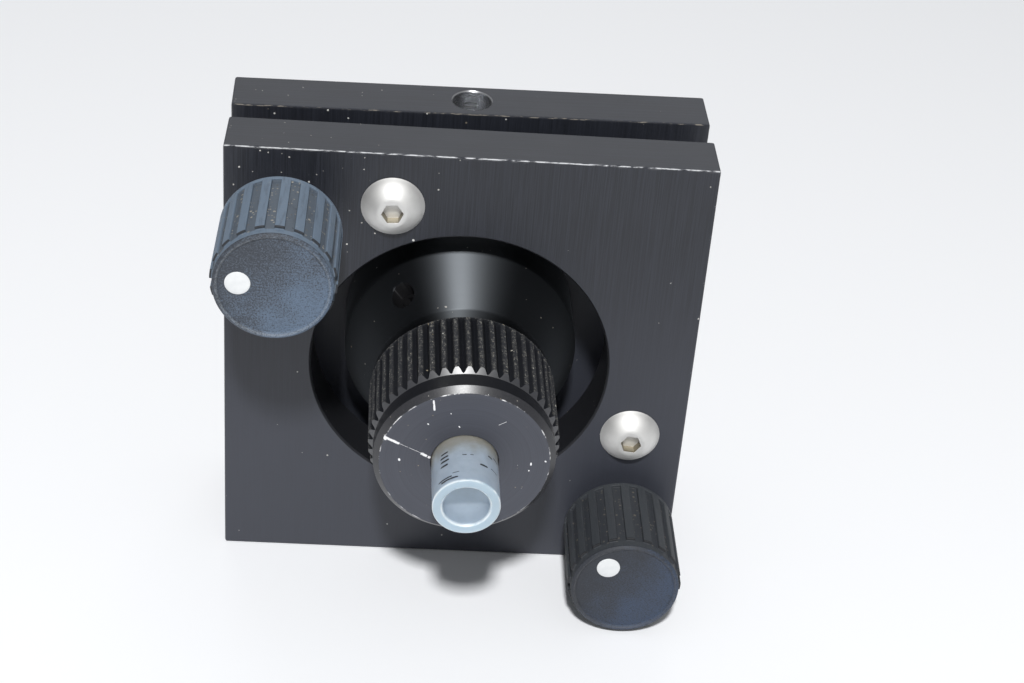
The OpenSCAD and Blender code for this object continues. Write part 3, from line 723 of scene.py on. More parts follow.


# Knobs: gritty slate plastic, with a painted sheen to one side of the face
knobLook = {"proud": (5.9, 6.12), "face": (10.72, 10.8), "ring": (9.95, 10.05), "grit": (6.0, 6.0, 0.72),
            "clouds": (0.35, 3.0), "cloudWide": 10.0, "paintedSheen": (5.0, -5.0), "paintedSheenGrit": 0.12, "grains": (0.44, 0.66),
            "fine": {"Cell": 0.42, "Share": 0.8, "Size": 0.46, "Seed": 2.0}, "fineShare": (0.8, 0.1),
            "lumps": {"Cell": 1.5, "Share": 0.12, "Size": 0.08, "Seed": 8.0}, "lumpShare": 0.8,
            "lump": rgb(0.35, 0.29, 0.18), "streaks": (2.2, 2.2, 0.3), "streakFrom": (0.5, 0.72), "streakShare": 0.3,
            "end": rgb(0.018, 0.019, 0.022), "endOut": (5.95, 6.02), "endUp": (9.78, 9.86), "endShare": 0.95,
            "rimUp": (10.9, 11.0), "rimFrom": (5.3, 5.4), "rimTo": (5.62, 5.5), "rimGrit": (0.35, 0.55),
            "rimShare": 0.35, "rough": (0.5, 0.78), "bump": (0.5, 0.00006), "bumpShare": (0.3, 1.0)}


def knobSlate(name, place, colours):
    look = knobLook
    material, shader, spot = newFinish(name, place)
    where, out = split(spot), offAxis(spot)
    onFace = rise(where[2], *look["face"])
    ring = times(rise(where[2], *look["ring"]), minus(1.0, onFace))
    proud = most(rise(out, *look["proud"]), ring)
    grit = noise(spot, *look["grit"])
    clouds = times(minus(noise(spot, *look["clouds"]), 0.5), look["cloudWide"])
    # painted sheen: the face coloured lighter and bluer towards one side
    paintedSheenSide = minus(times(where[0], colours["paintedSheenSide"][0]), times(where[1], colours["paintedSheenSide"][1]))
    paintedSheen = rise(plus(paintedSheenSide, clouds), *look["paintedSheen"])
    fine = useGroup(dustGroup, spot, **look["fine"])
    lumps = useGroup(dustGroup, spot, **look["lumps"])
    streaks = rise(useGroup(grainGroup, spot, Stretch=look["streaks"])[0], *look["streakFrom"])
    # painted shade: the grooves coloured darker than the ridges
    side = mixColour(proud, colours["groove"], colours["ridge"])
    side = mixColour(times(streaks, look["streakShare"]), side, colours["dark"])
    side = mixColour(times(fine[0], span(proud, *look["fineShare"])), side,
                     mixColour(fine[1], colours["dark"], colours["grit"]))
    # painted shade: dark dashes at the front ends of the ridges
    ridgeEndShade = times(rise(out, *look["endOut"]), rise(where[2], *look["endUp"]), look["endShare"])
    side = mixColour(ridgeEndShade, side, look["end"])
    grains = rise(plus(grit, times(paintedSheen, look["paintedSheenGrit"])), *look["grains"])
    disc = mixColour(grains, colours["dark"], mixColour(paintedSheen, colours["mid"], colours["paintedSheen"]))
    body = mixColour(onFace, side, disc)
    rim = times(rise(where[2], *look["rimUp"]), rise(out, *look["rimFrom"]),
                rise(out, *look["rimTo"]), rise(grit, *look["rimGrit"]), look["rimShare"])
    body = mixColour(rim, body, colours["rimLine"])
    body = mixColour(times(lumps[0], look["lumpShare"]), body, look["lump"])
    rough = times(grit, span(onFace, *look["bumpShare"]))
    feed(shader, Base_Color=body, Roughness=span(grit, *look["rough"]),
         Normal=bump(rough, *look["bump"]))
    return material


dotLook = {"clouds": (1.4, 4.0), "dark": rgb(0.6, 0.62, 0.63), "light": rgb(0.76, 0.77, 0.77), "rough": (0.3, 0.45)}


def dotPaint(name, place):
    material, shader, spot = newFinish(name, place)
    clouds = noise(spot, *dotLook["clouds"])
    feed(shader, Base_Color=mixColour(clouds, dotLook["dark"], dotLook["light"]),
         Roughness=span(clouds, *dotLook["rough"]))
    return material


# Finishes
baseWear = {"from": 0.38, "to": 0.56, "colour": rgb(0.6, 0.61, 0.63)}
stageWear = {"from": 0.5, "to": 0.66, "colour": rgb(0.22, 0.2, 0.17)}
hubGloss = {"Anisotropic": 0.895, "IOR": 1.7, "Specular_IOR_Level": 0.98, "Specular_Tint": rgb(0.86, 0.93, 1.0)}
knurlRadii = (9.68, 9.88)
baseCorner, stageCorner = localBox("base_plate", basePlace)[1], localBox("stage_plate", stagePlace)[1]
noseFront, sleeveFront = localBox("nose_cap", stagePlace)[1].z, localBox("sleeve", stagePlace)[1].z
basePlateBlack = plateBlack("basePlateBlack", basePlace, baseCorner)
basePlateEdge = plateBlack("basePlateEdge", basePlace, baseCorner, baseWear)
stagePlateBlack = plateBlack("stagePlateBlack", stagePlace, stageCorner)
stagePlateEdge = plateBlack("stagePlateEdge", stagePlace, stageCorner, stageWear)
boreBlack = turnedBlack("boreBlack", basePlace, rgb(0.008, 0.0085, 0.01), rgb(0.022, 0.023, 0.028), (0.35, 0.5), 0.12)
hubBlack = turnedBlack("hubBlack", stagePlace, rgb(0.0025, 0.0027, 0.0034), rgb(0.006, 0.0064, 0.008), (0.55, 0.6),
                       0.2, 5.0, hubGloss, 0.75)
spindleBlack = turnedBlack("spindleBlack", stagePlace, rgb(0.008, 0.008, 0.009), rgb(0.02, 0.02, 0.023),
                           (0.35, 0.5), 0.04)
collarBlack = knurlBlack("collarBlack", stagePlace, *knurlRadii)
collarChamfer = turnedBlack("collarChamfer", stagePlace, rgb(0.016, 0.0165, 0.02), rgb(0.04, 0.041, 0.047),
                            (0.33, 0.41), 0.05, gloss={"Specular_IOR_Level": 0.95})
lockBlack = turnedBlack("lockBlack", stagePlace, rgb(0.004, 0.004, 0.0045), rgb(0.009, 0.009, 0.01), (0.45, 0.6),
                        0.02, gloss={"Specular_IOR_Level": 0.15})
noseFinish = noseBlack("noseFinish", stagePlace, noseFront)
stainless = metal("stainless", basePlace, rgb(0.7, 0.695, 0.68), rgb(0.82, 0.815, 0.8), (0.58, 0.7))
socketWallShade = metal("socketWallShade", basePlace, rgb(0.24, 0.21, 0.15), rgb(0.42, 0.38, 0.3), (0.25, 0.4))
hardSteel = metal("hardSteel", basePlace, rgb(0.5, 0.5, 0.51), rgb(0.6, 0.6, 0.61), (0.12, 0.25))
bareMetal = metal("bareMetal", stagePlace, rgb(0.62, 0.63, 0.65), rgb(0.75, 0.76, 0.78), (0.2, 0.32), 3.0)
bronze = metal("bronze", basePlace, rgb(0.42, 0.27, 0.1), rgb(0.55, 0.37, 0.15), (0.25, 0.4))
springSteel = metal("springSteel", basePlace, rgb(0.4, 0.4, 0.41), rgb(0.55, 0.55, 0.56), (0.2, 0.35))
sleeveMilk = sleevePlastic("sleeveMilk", stagePlace, sleeveFront, noseFront)
linerMilk = milky("linerMilk", stagePlace, rgb(0.6, 0.6, 0.58))
print("finishes ready")

# Base plate
basePlateSet = {"edge": 0.25, "window": 16.1, "windowEdge": 0.2, "holeEdge": 0.15, "screwHole": 2.46,
                "bushHole": 3.62, "web": 1.5, "springHole": 1.77, "cupHole": 3.62, "cupDepth": 3.0,
                "postHole": 1.75, "postThread": 0.3, "postPitch": 0.7, "postPast": 0.5, "postDepth": 7.0}
low, high = localBox("base_plate", basePlace)
front, back = high.z, low.z
leftSpot, rightSpot = middle("left_bushing", basePlace), middle("right_bushing", basePlace)
topSpot, sideSpot = middle("top_spring_washer", basePlace), middle("side_spring_washer", basePlace)
pivotSpot = middle("pivot_ball", basePlace)
knobSides, springSides = (("left", leftSpot), ("right", rightSpot)), (("top", topSpot), ("side", sideSpot))

basePlate = squarePlate(low, high, basePlateSet["edge"], (basePlateBlack, basePlateEdge))
hole, edge, web = basePlateSet["window"], basePlateSet["windowEdge"], front - basePlateSet["web"]
drill(basePlate, Vector(), mouth(hole, front, 1, edge) + mouth(hole, back, -1, edge), 192)
hole, wider, edge = basePlateSet["screwHole"], basePlateSet["bushHole"], basePlateSet["holeEdge"]
for side, spot in knobSides:
    drill(basePlate, spot, mouth(hole, front, 1, edge) + [(hole, web), (wider, web), (wider, back - past)])
hole = basePlateSet["springHole"]
for side, spot in springSides:
    drill(basePlate, spot, [(hole, front + past)] + mouth(hole, back, -1, edge))
hole = basePlateSet["cupHole"]
drill(basePlate, pivotSpot, [(hole, back + basePlateSet["cupDepth"]), (hole, back - past)])
postThread = threadRod(basePlateSet["postHole"], basePlateSet["postThread"], basePlateSet["postPitch"],
                       -basePlateSet["postPast"], basePlateSet["postDepth"])
cutWith(basePlate, postThread, (0, low.y, 0), (-90, 0, 0), finish=bareMetal)
soften(basePlate, 0)
settle(basePlate, "basePlate", "base_plate", basePlace, "base")
print("base plate", len(basePlate.data.polygons), "faces")

# Stage plate
stagePlateSet = {"edge": 0.25, "hubHole": 12.72, "seatHole": 3.62, "seatDepth": 3.0, "padDepth": 3.42,
                 "springHole": 2.6, "pocket": 4.5, "pocketFloor": 1.95, "pocketEdge": 0.15, "clampHole": 2.1,
                 "clampThread": 0.28, "clampPitch": 0.8, "clampFrom": 8.0, "clampPlain": 4.0, "clampOverlap": 0.2,
                 "clampEdge": 0.12}
baseFront, baseBack = front, back
low, high = localBox("stage_plate", stagePlace)
front, back = high.z, low.z
stagePlate = squarePlate(low, high, stagePlateSet["edge"], (stagePlateBlack, stagePlateEdge))
hole = stagePlateSet["hubHole"]
drill(stagePlate, Vector(), [(hole, front + past), (hole, back - past)], 160)
hole = stagePlateSet["seatHole"]
for node, depth in (("stage_pivot_cup", "seatDepth"), ("groove_pad", "seatDepth"), ("flat_pad", "padDepth")):
    drill(stagePlate, middle(node, stagePlace), [(hole, front + past), (hole, front - stagePlateSet[depth])])
hole, wider, pocketFloor = stagePlateSet["springHole"], stagePlateSet["pocket"], front - stagePlateSet["pocketFloor"]
for side, spot in springSides:
    drill(stagePlate, spot, [(hole, front + past), (hole, pocketFloor), (wider, pocketFloor)]
          + mouth(wider, back, -1, stagePlateSet["pocketEdge"]), 80)
hole, plain = stagePlateSet["clampHole"], stagePlateSet["clampPlain"]
clampThread = threadRod(hole, stagePlateSet["clampThread"], stagePlateSet["clampPitch"], stagePlateSet["clampFrom"],
                        high.y - plain)
cutWith(stagePlate, clampThread, (0, 0, (front + back) / 2), (-90, 0, 0), finish=bareMetal)
clampMouth = lathe([(hole, -plain - stagePlateSet["clampOverlap"])]
                   + mouth(hole, 0, 1, stagePlateSet["clampEdge"])[::-1], 64, False)
cutWith(stagePlate, clampMouth, (0, high.y, (front + back) / 2), (-90, 0, 0), finish=bareMetal)
soften(stagePlate, 0)
settle(stagePlate, "stagePlate", "stage_plate", stagePlace, "stage")
print("stage plate", len(stagePlate.data.polygons), "faces")

# Seats and balls
seatSet = {"radius": 3.6, "thick": 3.0, "ball": 2.38, "room": 0.04, "ballHeight": 2.0, "bowlRings": 8,
           "cupEdge": 0.12, "grooveEdge": 0.1, "padEdge": 0.15}


def cup():  # bowl opens towards z
    bowl, centre = seatSet["ball"] + seatSet["room"], seatSet["ballHeight"]
    heights = [(centre - bowl) * (1 - step / seatSet["bowlRings"]) ** 2 for step in range(1, seatSet["bowlRings"] + 1)]
    rings = [(math.sqrt(bowl ** 2 - (centre - height) ** 2), height) for height in heights]
    piece = lathe(rings + [(seatSet["radius"], 0), (seatSet["radius"], -seatSet["thick"])], 64, False)
    trim(piece, seatSet["cupEdge"], hardSteel)
    return piece


settle(cup(), "stageCup", "stage_pivot_cup", over(stagePlace, "stage_pivot_cup"), "stage")
cupSpot = middle("base_pivot_cup", basePlace)
backSide = at(basePlace, cupSpot.x, cupSpot.y, baseBack) @ Matrix.Rotation(math.pi, 4, "Y")
settle(cup(), "baseCup", "base_pivot_cup", backSide, "base")

groovePad = rod(seatSet["radius"], -seatSet["thick"], 0)  # plain, without the CAD's groove
trim(groovePad, seatSet["grooveEdge"], hardSteel)
settle(groovePad, "groovePad", "groove_pad", over(stagePlace, "groove_pad"), "stage")
low, high = localBox("flat_pad", stagePlace)
flatPad = rod(seatSet["radius"], low.z, high.z)
trim(flatPad, seatSet["padEdge"], hardSteel)
settle(flatPad, "flatPad", "flat_pad", over(stagePlace, "flat_pad"), "stage")

pivotBall = ball(seatSet["ball"])
soften(pivotBall, 0, smooth=180)
dress(pivotBall, hardSteel)
for side, spot in knobSides:
    node = side + "_ball_tip"
    place = at(basePlace, *middle(node, basePlace))
    settle(copyPiece(pivotBall), side + "Ball", node, place, side + "_tip")
settle(pivotBall, "pivotBall", "pivot_ball", at(basePlace, *pivotSpot), "pivot")
print("seats and balls")

# Bushings
bushingSet = {"radius": 3.6, "bore": 2.42, "sides": 64, "edge": 0.2}
bushing = tube("left_bushing", basePlace, bushingSet)
trim(bushing, bushingSet["edge"], bronze)
settlePair(bushing, knobSides, "Bushing", "_bushing")

# Spring screws, washers and nuts
springScrewSet = {"head": 3.325, "height": 1.85, "flat": 1.35, "foot": 0.08, "domeRings": 10, "socket": 1.98,
                  "socketDepth": 1.1, "shank": 1.75, "pitch": 0.8, "thread": 0.3, "overlap": 0.3, "edge": 0.05,
                  "turns": (0.6, 0.4)}
head, height, foot = springScrewSet["head"], springScrewSet["height"], springScrewSet["foot"]
socketFloor = height - springScrewSet["socketDepth"]
domeBack = (head ** 2 - springScrewSet["flat"] ** 2 - height ** 2) / (2 * height)
domeRadius = math.hypot(head, domeBack)
domeHeights = [height * step / springScrewSet["domeRings"] for step in range(1, springScrewSet["domeRings"] + 1)]
dome = [(math.sqrt(domeRadius ** 2 - (up + domeBack) ** 2), up) for up in domeHeights]
springScrew = lathe([(head - foot, 0), (head, foot)] + dome, 96, False)
dress(springScrew, stainless)
# painted shade: the socket's walls take a dark brown metal
cutWith(springScrew, hexRod(springScrewSet["socket"], socketFloor, height + 1), finish=socketWallShade)
for facet in springScrew.data.polygons:  # the socket's floor keeps the head's stainless, outside the walls' painted shade
    if abs(facet.center.z - socketFloor) < 0.01:
        facet.material_index = 0
soften(springScrew, springScrewSet["edge"], 2, 50)
shankEnd = localBox("top_spring_screw", basePlace)[0].z - baseFront
shank = threadRod(springScrewSet["shank"], springScrewSet["thread"], springScrewSet["pitch"], shankEnd,
                  springScrewSet["overlap"], 28)
trim(shank, 0, stainless)
joinTo(springScrew, shank)
settlePair(springScrew, springSides, "Screw", "_spring_screw", baseFront, springScrewSet["turns"])

washerSet = {"radius": 3.9, "bore": 1.77, "sides": 64, "edge": 0.12}
washer = tube("top_spring_washer", basePlace, washerSet)
trim(washer, washerSet["edge"], stainless)
settlePair(washer, springSides, "Washer", "_spring_washer")

nutSet = {"across": 6.35, "bore": 1.77, "boreEdge": 0.3, "crown": 0.4, "crownIn": 0.1, "crownOut": 0.05, "edge": 0.06,
          "turn": math.pi / 6}
low, high = localBox("top_spring_nut", basePlace)
nut = hexRod(nutSet["across"], low.z, high.z)
dress(nut, stainless)
crown, narrow = nutSet["crown"], nutSet["across"] / 2 - nutSet["crownIn"]
wide = hexCorner(nutSet["across"]) + nutSet["crownOut"]
crowned = lathe([(narrow, low.z), (wide, low.z + crown), (wide, high.z - crown), (narrow, high.z)], 64, False)
cutWith(nut, crowned, operation="INTERSECT")
bore, edge = nutSet["bore"], nutSet["boreEdge"]
cutWith(nut, lathe(mouth(bore, high.z, 1, edge) + mouth(bore, low.z, -1, edge), 48, False))
soften(nut, nutSet["edge"], 2, 35)
settlePair(nut, springSides, "Nut", "_spring_nut", 0, (nutSet["turn"],) * 2)
print("spring screws")

# Springs, wound with closed end turns
springSet = {"coil": 2.95, "wire": 0.34, "active": 3.5, "closed": 0.75, "closedPitch": 1.89, "steps": 24, "sides": 10,
             "room": {"top": 0.45, "side": 0.0},  # clear of a pocket floor that tilts past the spring
             "bodies": {"top": ("base", "pivot"), "side": ("pivot", "stage")}}


def windSpring(low, high):
    wire, steps = springSet["wire"], springSet["steps"]
    deselectAll()
    bpy.ops.mesh.primitive_circle_add(vertices=springSet["sides"], radius=wire)
    piece = bpy.context.object
    editAll()
    bpy.ops.transform.rotate(value=math.pi / 2, orient_axis="X", center_override=(0, 0, 0))
    bpy.ops.transform.translate(value=(springSet["coil"], 0, low + wire))
    closed, active = int(springSet["closed"] * steps), int(springSet["active"] * steps)
    closedRise = springSet["closedPitch"] * wire / steps
    activeRise = (high - low - 2 * wire - 2 * closed * closedRise) / active
    for climb in [closedRise] * closed + [activeRise] * active + [closedRise] * closed:
        bpy.ops.mesh.extrude_edges_move(TRANSFORM_OT_translate={"value": (0, 0, climb)})
        bpy.ops.transform.rotate(value=2 * math.pi / steps, orient_axis="Z", center_override=(0, 0, 0))
    fillHoles()
    leaveEdit()
    soften(piece, 0, smooth=60)
    dress(piece, springSteel)
    return piece


for side, spot in springSides:
    node = side + "_spring"
    low, high = localBox(node, stagePlace)
    spring, place = windSpring(low.z, high.z - springSet["room"][side]), over(stagePlace, node)
    settle(spring, side + "Spring", node, place, None)
    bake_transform(spring)
print("springs")

# Clamp screw in the stage's top edge
clampSet = {"radius": 2.08, "socket": 2.1, "socketDepth": 2.5, "pitch": 0.8, "thread": 0.25, "tip": 1.78,
            "tipEdge": 0.15}
low, high = localBox("clamp_screw", stagePlace)
clampPlace = at(stagePlace, 0, 0, (low.z + high.z) / 2) @ Matrix.Rotation(-math.pi / 2, 4, "X")
clampScrew = threadRod(clampSet["radius"], clampSet["thread"], clampSet["pitch"], low.y, high.y)
dress(clampScrew, stainless)
cutWith(clampScrew, hexRod(clampSet["socket"], high.y - clampSet["socketDepth"], high.y + 1))
soften(clampScrew, 0)
settle(clampScrew, "clampScrew", "clamp_screw", clampPlace, "stage")
low, high = localBox("clamp_tip", stagePlace)
clampTip = rod(clampSet["tip"], low.y, high.y, 48)
trim(clampTip, clampSet["tipEdge"], linerMilk)
settle(clampTip, "clampTip", "clamp_tip", clampPlace, "stage")

# Hub, its bush and lock screw
hubSet = {"radius": 12.7, "bore": 8.22, "nose": 9.6, "rim": 7.1, "coneRings": 12, "edge": 0.15, "lockHole": 1.32,
          "lockFrom": 2, "lockTo": 14, "lockAngle": 37, "lockHeight": 10.25}
low, high = localBox("hub", stagePlace)
shares = [step / hubSet["coneRings"] for step in range(hubSet["coneRings"] + 1)]
cone = [(hubSet["nose"] + (hubSet["radius"] - hubSet["nose"]) * share, high.z + (hubSet["rim"] - high.z) * share)
        for share in shares]
hub = lathe([(hubSet["bore"], high.z)] + cone + [(hubSet["radius"], low.z), (hubSet["bore"], low.z)], 160)
soften(hub, hubSet["edge"], 2, 20)
dress(hub, hubBlack)
lockTurn = Matrix.Rotation(math.radians(hubSet["lockAngle"]), 4, "Z") @ Matrix.Rotation(-math.pi / 2, 4, "X")


def cutLockHole(piece, finish):
    cutter = rod(hubSet["lockHole"], hubSet["lockFrom"], hubSet["lockTo"], 48)
    angles = [math.degrees(angle) for angle in lockTurn.to_euler()]
    cutWith(piece, cutter, (0, 0, hubSet["lockHeight"]), angles, finish)
    soften(piece, 0)


cutLockHole(hub, lockBlack)
settle(hub, "taperedHub", "hub", stagePlace, "stage")

bushSet = {"radius": 8.2, "bore": 7.04, "sides": 96, "edge": 0.12}
bearingBush = tube("bearing_bush", stagePlace, bushSet)
trim(bearingBush, bushSet["edge"], bronze)
cutLockHole(bearingBush, bronze)
settle(bearingBush, "bearingBush", "bearing_bush", stagePlace, "stage")

lockSet = {"radius": 1.3, "from": 7.08, "to": 10.15, "socket": 1.3, "pitch": 0.5, "thread": 0.18}
lockScrew = threadRod(lockSet["radius"], lockSet["thread"], lockSet["pitch"], lockSet["from"], lockSet["to"], 24)
dress(lockScrew, lockBlack)
cutWith(lockScrew, hexRod(lockSet["socket"], (lockSet["from"] + lockSet["to"]) / 2, lockSet["to"] + 1))
soften(lockScrew, 0)
lockPlace = at(stagePlace, 0, 0, hubSet["lockHeight"]) @ lockTurn
settle(lockScrew, "lockScrew", "hub_lock_screw", lockPlace, "stage")
print("hub")

# Spindle, thrust washer and retaining ring
spindleSet = {"bore": 4.32, "pilot": 6.0, "seat": 7.6, "flange": 8.6, "journal": 7.0, "groove": 6.3,
              "collarFront": 24.54, "flangeFront": 15.19, "flangeBack": 13.44, "grooveFront": -6.79,
              "grooveBack": -7.61, "edge": 0.12}
low, high = localBox("spindle", stagePlace)
steps = [("pilot", high.z, spindleSet["collarFront"]), ("seat", spindleSet["collarFront"], spindleSet["flangeFront"]),
         ("flange", spindleSet["flangeFront"], spindleSet["flangeBack"]),
         ("journal", spindleSet["flangeBack"], spindleSet["grooveFront"]),
         ("groove", spindleSet["grooveFront"], spindleSet["grooveBack"]), ("journal", spindleSet["grooveBack"], low.z)]
outline = [(spindleSet[name], end) for name, upper, lower in steps for end in (upper, lower)]
spindle = lathe([(spindleSet["bore"], high.z)] + outline + [(spindleSet["bore"], low.z)], 128)
trim(spindle, spindleSet["edge"], spindleBlack)
settle(spindle, "hubSpindle", "spindle", stagePlace, "rotor")

thrustSet = {"radius": 9.5, "bore": 7.02, "sides": 128, "edge": 0.1}
thrustWasher = tube("thrust_washer", stagePlace, thrustSet)
trim(thrustWasher, thrustSet["edge"], bronze)
settle(thrustWasher, "thrustWasher", "thrust_washer", stagePlace, "rotor")

ringSet = {"radius": 8.3, "bore": 6.32, "sides": 144, "edge": 0.1, "gap": 50}
retainingRing = tube("retaining_ring", stagePlace, ringSet)
half = math.radians(ringSet["gap"] / 2)
pick(retainingRing, "FACE", lambda face: abs(math.atan2(face.center.x, -face.center.y)) < half)
bpy.ops.mesh.delete(type="FACE")
fillHoles()
leaveEdit()
trim(retainingRing, ringSet["edge"], hardSteel)
settle(retainingRing, "retainingRing", "retaining_ring", stagePlace, "rotor")
print("spindle")

# Knurled collar: every tooth spans eight columns, cut deeper towards the groove in the middle
collarSet = {"radius": 9.9, "bore": 7.62, "chamfer": 0.57, "backChamfer": 0.08, "teeth": 48, "columns": 8,
             "depth": {2: 0.16, 3: 0.4, 4: 0.5}}
low, high = localBox("collar", stagePlace)
radius, bore, columns = collarSet["radius"], collarSet["bore"], collarSet["columns"]
chamfer, backChamfer = collarSet["chamfer"], collarSet["backChamfer"]
collar = lathe([(bore, high.z), (radius - chamfer, high.z), (radius, high.z - chamfer), (radius, low.z + backChamfer),
                (radius - backChamfer, low.z), (bore, low.z)], collarSet["teeth"] * columns)


def offAxisOf(spot):
    return math.hypot(spot.x, spot.y)


def toothColumn(spot):
    turn = math.degrees(math.atan2(spot.y, spot.x)) * collarSet["teeth"] / 360 * columns
    column = round(turn) % columns
    return min(column, columns - column)


for column, cut in collarSet["depth"].items():
    reach = radius - cut
    pick(collar, "VERT", lambda spot: offAxisOf(spot) > radius - 0.05 and toothColumn(spot) == column)
    bpy.ops.transform.resize(value=(reach / radius, reach / radius, 1), center_override=(0, 0, 0))
    objectMode()
    pick(collar, "VERT", lambda spot: toothColumn(spot) == column and abs(offAxisOf(spot) - reach) < 0.01
         and spot.z > high.z - chamfer - 0.01)
    bpy.ops.transform.translate(value=(0, 0, cut))  # the chamfer meets the groove further forward
    objectMode()
soften(collar, 0, smooth=28)
dress(collar, collarBlack, collarChamfer)
for face in collar.data.polygons:
    outside = offAxisOf(face.center) > radius - chamfer - 0.02
    if outside and face.center.z > high.z - chamfer and face.normal.z > 0.3:
        face.material_index = 1
settle(collar, "knurledCollar", "collar", stagePlace, "rotor")
print("collar", len(collar.data.polygons), "faces")

# Nose cap
noseSet = {"radius": 9.4, "hole": 3.505, "chamfer": 0.65, "pilot": 6.02, "floor": 26.06, "edge": 0.05}
low, high = localBox("nose_cap", stagePlace)
hole, radius, chamfer, pilot = noseSet["hole"], noseSet["radius"], noseSet["chamfer"], noseSet["pilot"]
noseCap = lathe([(hole, high.z), (radius - chamfer, high.z), (radius, high.z - chamfer), (radius, low.z),
                 (pilot, low.z), (pilot, noseSet["floor"]), (hole, noseSet["floor"])], 192)
soften(noseCap, noseSet["edge"], 2, 20)
dress(noseCap, noseFinish)
settle(noseCap, "noseCap", "nose_cap", stagePlace, "rotor")

# Liner and milky sleeve
linerSet = {"radius": 4.3, "bore": 3.465, "sides": 64, "edge": 0.1}
liner = tube("liner", stagePlace, linerSet)
trim(liner, linerSet["edge"], linerMilk)
settle(liner, "sleeveLiner", "liner", stagePlace, "rotor")

sleeveSet = {"radius": 3.425, "bore": 2.35, "mouth": 0.22, "edge": 0.12}
low, high = localBox("sleeve", stagePlace)
bore, radius, flare = sleeveSet["bore"], sleeveSet["radius"], sleeveSet["mouth"]
sleeve = lathe([(bore, low.z), (bore, high.z - flare), (bore + flare, high.z), (radius, high.z), (radius, low.z)], 128)
soften(sleeve, sleeveSet["edge"], 3, 50)
dress(sleeve, sleeveMilk)
settle(sleeve, "milkySleeve", "sleeve", stagePlace, "sleeve")
print("nose cap and sleeve")

# Knobs and their dots
knobSet = {"ring": 5.87, "proud": 0.31, "length": 11.1, "ringLength": 1.1, "edge": 0.25, "lip": 0.375, "dish": 0.25,
           "dishEdge": 0.65, "dishFloor": 1.0, "bore": 2.4, "boreDepth": 8.5, "ridges": 20, "columns": 8,
           "flange": 0.45, "phase": -1.9, "soft": 0.12}
ring, face, bore, edge = knobSet["ring"], knobSet["length"], knobSet["bore"], knobSet["edge"]
ringBack, dishFloor = face - knobSet["ringLength"], face - knobSet["dish"]
leftKnob = lathe([(bore, knobSet["boreDepth"]), (bore, 0), (ring, 0), (ring, knobSet["flange"]), (ring, ringBack),
                  (ring, face - edge), (ring - edge, face), (ring - knobSet["lip"], face),
                  (ring - knobSet["dishEdge"], dishFloor), (knobSet["dishFloor"], dishFloor)],
                 knobSet["ridges"] * knobSet["columns"], False)


def onRidge(facet):
    spread = 360 / knobSet["ridges"]
    turn = math.degrees(math.atan2(facet.center.y, facet.center.x)) % spread
    proud = facet.center.z < knobSet["flange"] or min(turn, spread - turn) < spread / 4
    return proud and 0.1 < facet.center.z < ringBack and offAxisOf(facet.center) > ring - 0.1


pick(leftKnob, "FACE", onRidge)
bpy.ops.mesh.extrude_region_shrink_fatten(TRANSFORM_OT_shrink_fatten={"value": knobSet["proud"]})
bpy.ops.mesh.select_all(action="SELECT")
bpy.ops.transform.rotate(value=-math.radians(knobSet["phase"]), orient_axis="Z", center_override=(0, 0, 0))
objectMode()
soften(leftKnob, knobSet["soft"], 3, 35)

dotSet = {"radius": 1.25, "proud": 0.16, "thick": 0.5, "wall": 0.02, "rings": 8}
radius, wall, proud = dotSet["radius"], dotSet["wall"], dotSet["proud"] - dotSet["wall"]
slopes = [step * math.pi / 2 / dotSet["rings"] for step in range(1, dotSet["rings"])]
dome = [(radius * math.cos(slope), wall + proud * math.sin(slope)) for slope in slopes]
leftDot = lathe([(radius, -dotSet["thick"]), (radius, wall)] + dome, 48, False)
soften(leftDot, 0)
rightKnob, rightDot = copyPiece(leftKnob), copyPiece(leftDot)
# the right knob's colours are a darker copy of the left's: painted shade on the same plastic
slateSet = {"left": {"paintedSheenSide": (0.8, 0.6), "ridge": rgb(0.126, 0.17, 0.228), "groove": rgb(0.08, 0.1, 0.126),
                     "grit": rgb(0.4, 0.37, 0.31), "dark": rgb(0.028, 0.033, 0.043), "mid": rgb(0.074, 0.09, 0.115),
                     "paintedSheen": rgb(0.098, 0.14, 0.203), "rimLine": rgb(0.24, 0.26, 0.28)},
            "right": {"paintedSheenSide": (0.97, -0.24), "ridge": rgb(0.04, 0.045, 0.052), "groove": rgb(0.031, 0.035, 0.042),
                      "grit": rgb(0.16, 0.145, 0.12), "dark": rgb(0.02, 0.023, 0.03), "mid": rgb(0.033, 0.038, 0.049),
                      "paintedSheen": rgb(0.038, 0.057, 0.098), "rimLine": rgb(0.09, 0.09, 0.095)}}

# Adjuster screws, each with its knob and dot
adjusterSet = {"radius": 2.38, "pitch": 0.3175, "thread": 0.15, "ball": 2.42, "set": 1.19}
for (side, spot), knob, dot in zip(knobSides, (leftKnob, rightKnob), (leftDot, rightDot)):
    body = side + "_adjuster"
    low, high = localBox(side + "_adjuster_screw", basePlace)
    screw = threadRod(adjusterSet["radius"], adjusterSet["thread"], adjusterSet["pitch"], low.z, high.z, 40)
    dress(screw, hardSteel)
    cutWith(screw, ball(adjusterSet["ball"]), (0, 0, low.z - adjusterSet["set"]))
    soften(screw, 0, smooth=30)
    settle(screw, side + "Screw", side + "_adjuster_screw", at(basePlace, spot.x, spot.y), body)
    dotSpot, (low, high) = middle(side + "_knob_dot", basePlace), localBox(side + "_knob", basePlace)
    knobPlace = at(basePlace, spot.x, spot.y, low.z, math.atan2(dotSpot.y - spot.y, dotSpot.x - spot.x))
    dress(knob, knobSlate(side + "Slate", knobPlace, slateSet[side]))
    settle(knob, side + "Knob", side + "_knob", knobPlace, body)
    dotPlace = at(basePlace, dotSpot.x, dotSpot.y, high.z - knobSet["dish"])
    dress(dot, dotPaint(side + "DotWhite", dotPlace))
    settle(dot, side + "Dot", side + "_knob_dot", dotPlace, body)
print("knobs", len(leftKnob.data.polygons), "faces each")

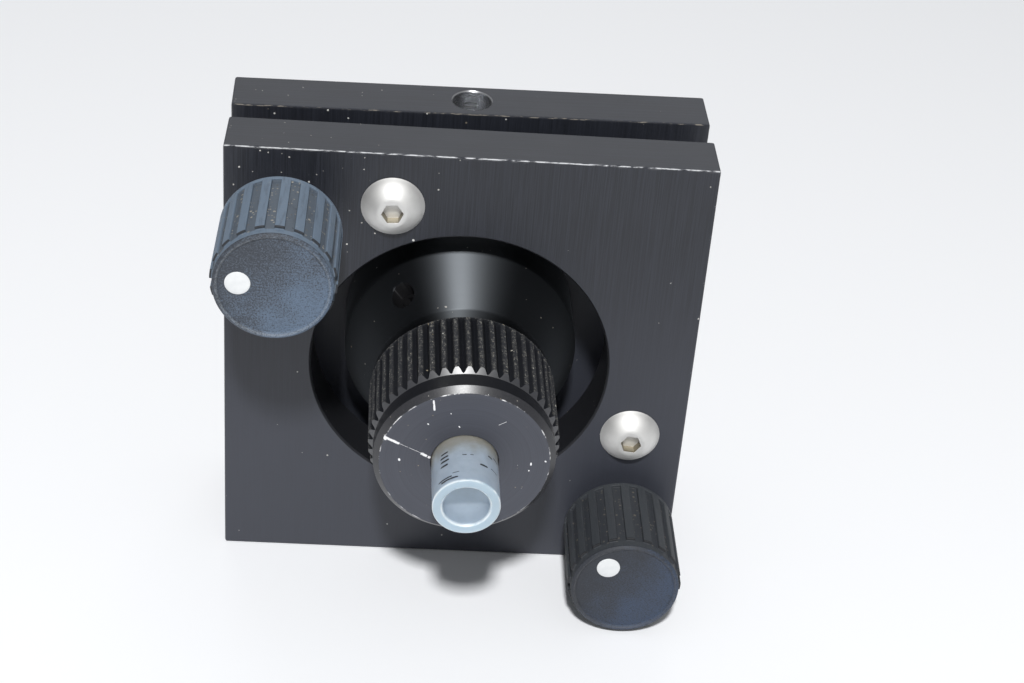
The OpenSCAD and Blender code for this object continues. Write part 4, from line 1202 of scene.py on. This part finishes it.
# Floor, light and camera
floorSet = {"size": 4.0, "drop": 0.00005, "colour": rgb(0.94, 0.95, 0.97), "rough": 0.8, "specular": 0.2}
deselectAll()
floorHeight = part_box("base_plate")[0].z - floorSet["drop"]
bpy.ops.mesh.primitive_plane_add(size=floorSet["size"], location=(0, 0, floorHeight))
floor = bpy.context.object
floor.name = "floor"
floorWhite, shader = newMaterial("floorWhite")
setShader(shader, Base_Color=floorSet["colour"], Roughness=floorSet["rough"], Specular_IOR_Level=floorSet["specular"])
dress(floor, floorWhite)

lightSet = {"sky": rgb(0.96, 0.98, 1.0), "world": 0.25, "aim": (0, 0, 0.025),
            "key": {"power": 6.4, "size": (0.055, 0.07), "angle": (-3.5, 50.5), "away": 0.8},
            "card": {"power": 0.44, "size": (0.5, 0.25), "angle": (180, 35), "away": 0.6}}
world = bpy.data.worlds.new("studio")
bpy.context.scene.world = world
world.use_nodes = True
sky = world.node_tree.nodes["Background"].inputs
sky[0].default_value, sky[1].default_value = lightSet["sky"], lightSet["world"]
for name in ("key", "card"):
    lamp = lightSet[name]
    turn, height = [math.radians(angle) for angle in lamp["angle"]]
    toLamp = Vector((math.sin(turn) * math.cos(height), -math.cos(turn) * math.cos(height), math.sin(height)))
    bpy.ops.object.light_add(type="AREA", location=Vector(lightSet["aim"]) + toLamp * lamp["away"])
    light = bpy.context.object
    light.name = name + "Light"
    light.data.energy = lamp["power"]
    light.data.shape = "RECTANGLE"
    light.data.size, light.data.size_y = lamp["size"]
    light.rotation_euler = toLamp.to_track_quat("Z", "Y").to_euler()
    light.visible_camera = False

cameraSet = {"spot": (-0.0072310, -0.1858727, 0.1451293), "turn": (57.4975, -4.1416, -1.3396), "lens": 70.805,
             "sensor": 36, "near": 0.01}
bpy.ops.object.camera_add(location=cameraSet["spot"], rotation=[math.radians(angle) for angle in cameraSet["turn"]])
camera = bpy.context.object
camera.data.lens = cameraSet["lens"]
camera.data.sensor_width = cameraSet["sensor"]
camera.data.clip_start = cameraSet["near"]
bpy.context.scene.camera = camera
print("floor, light and camera")
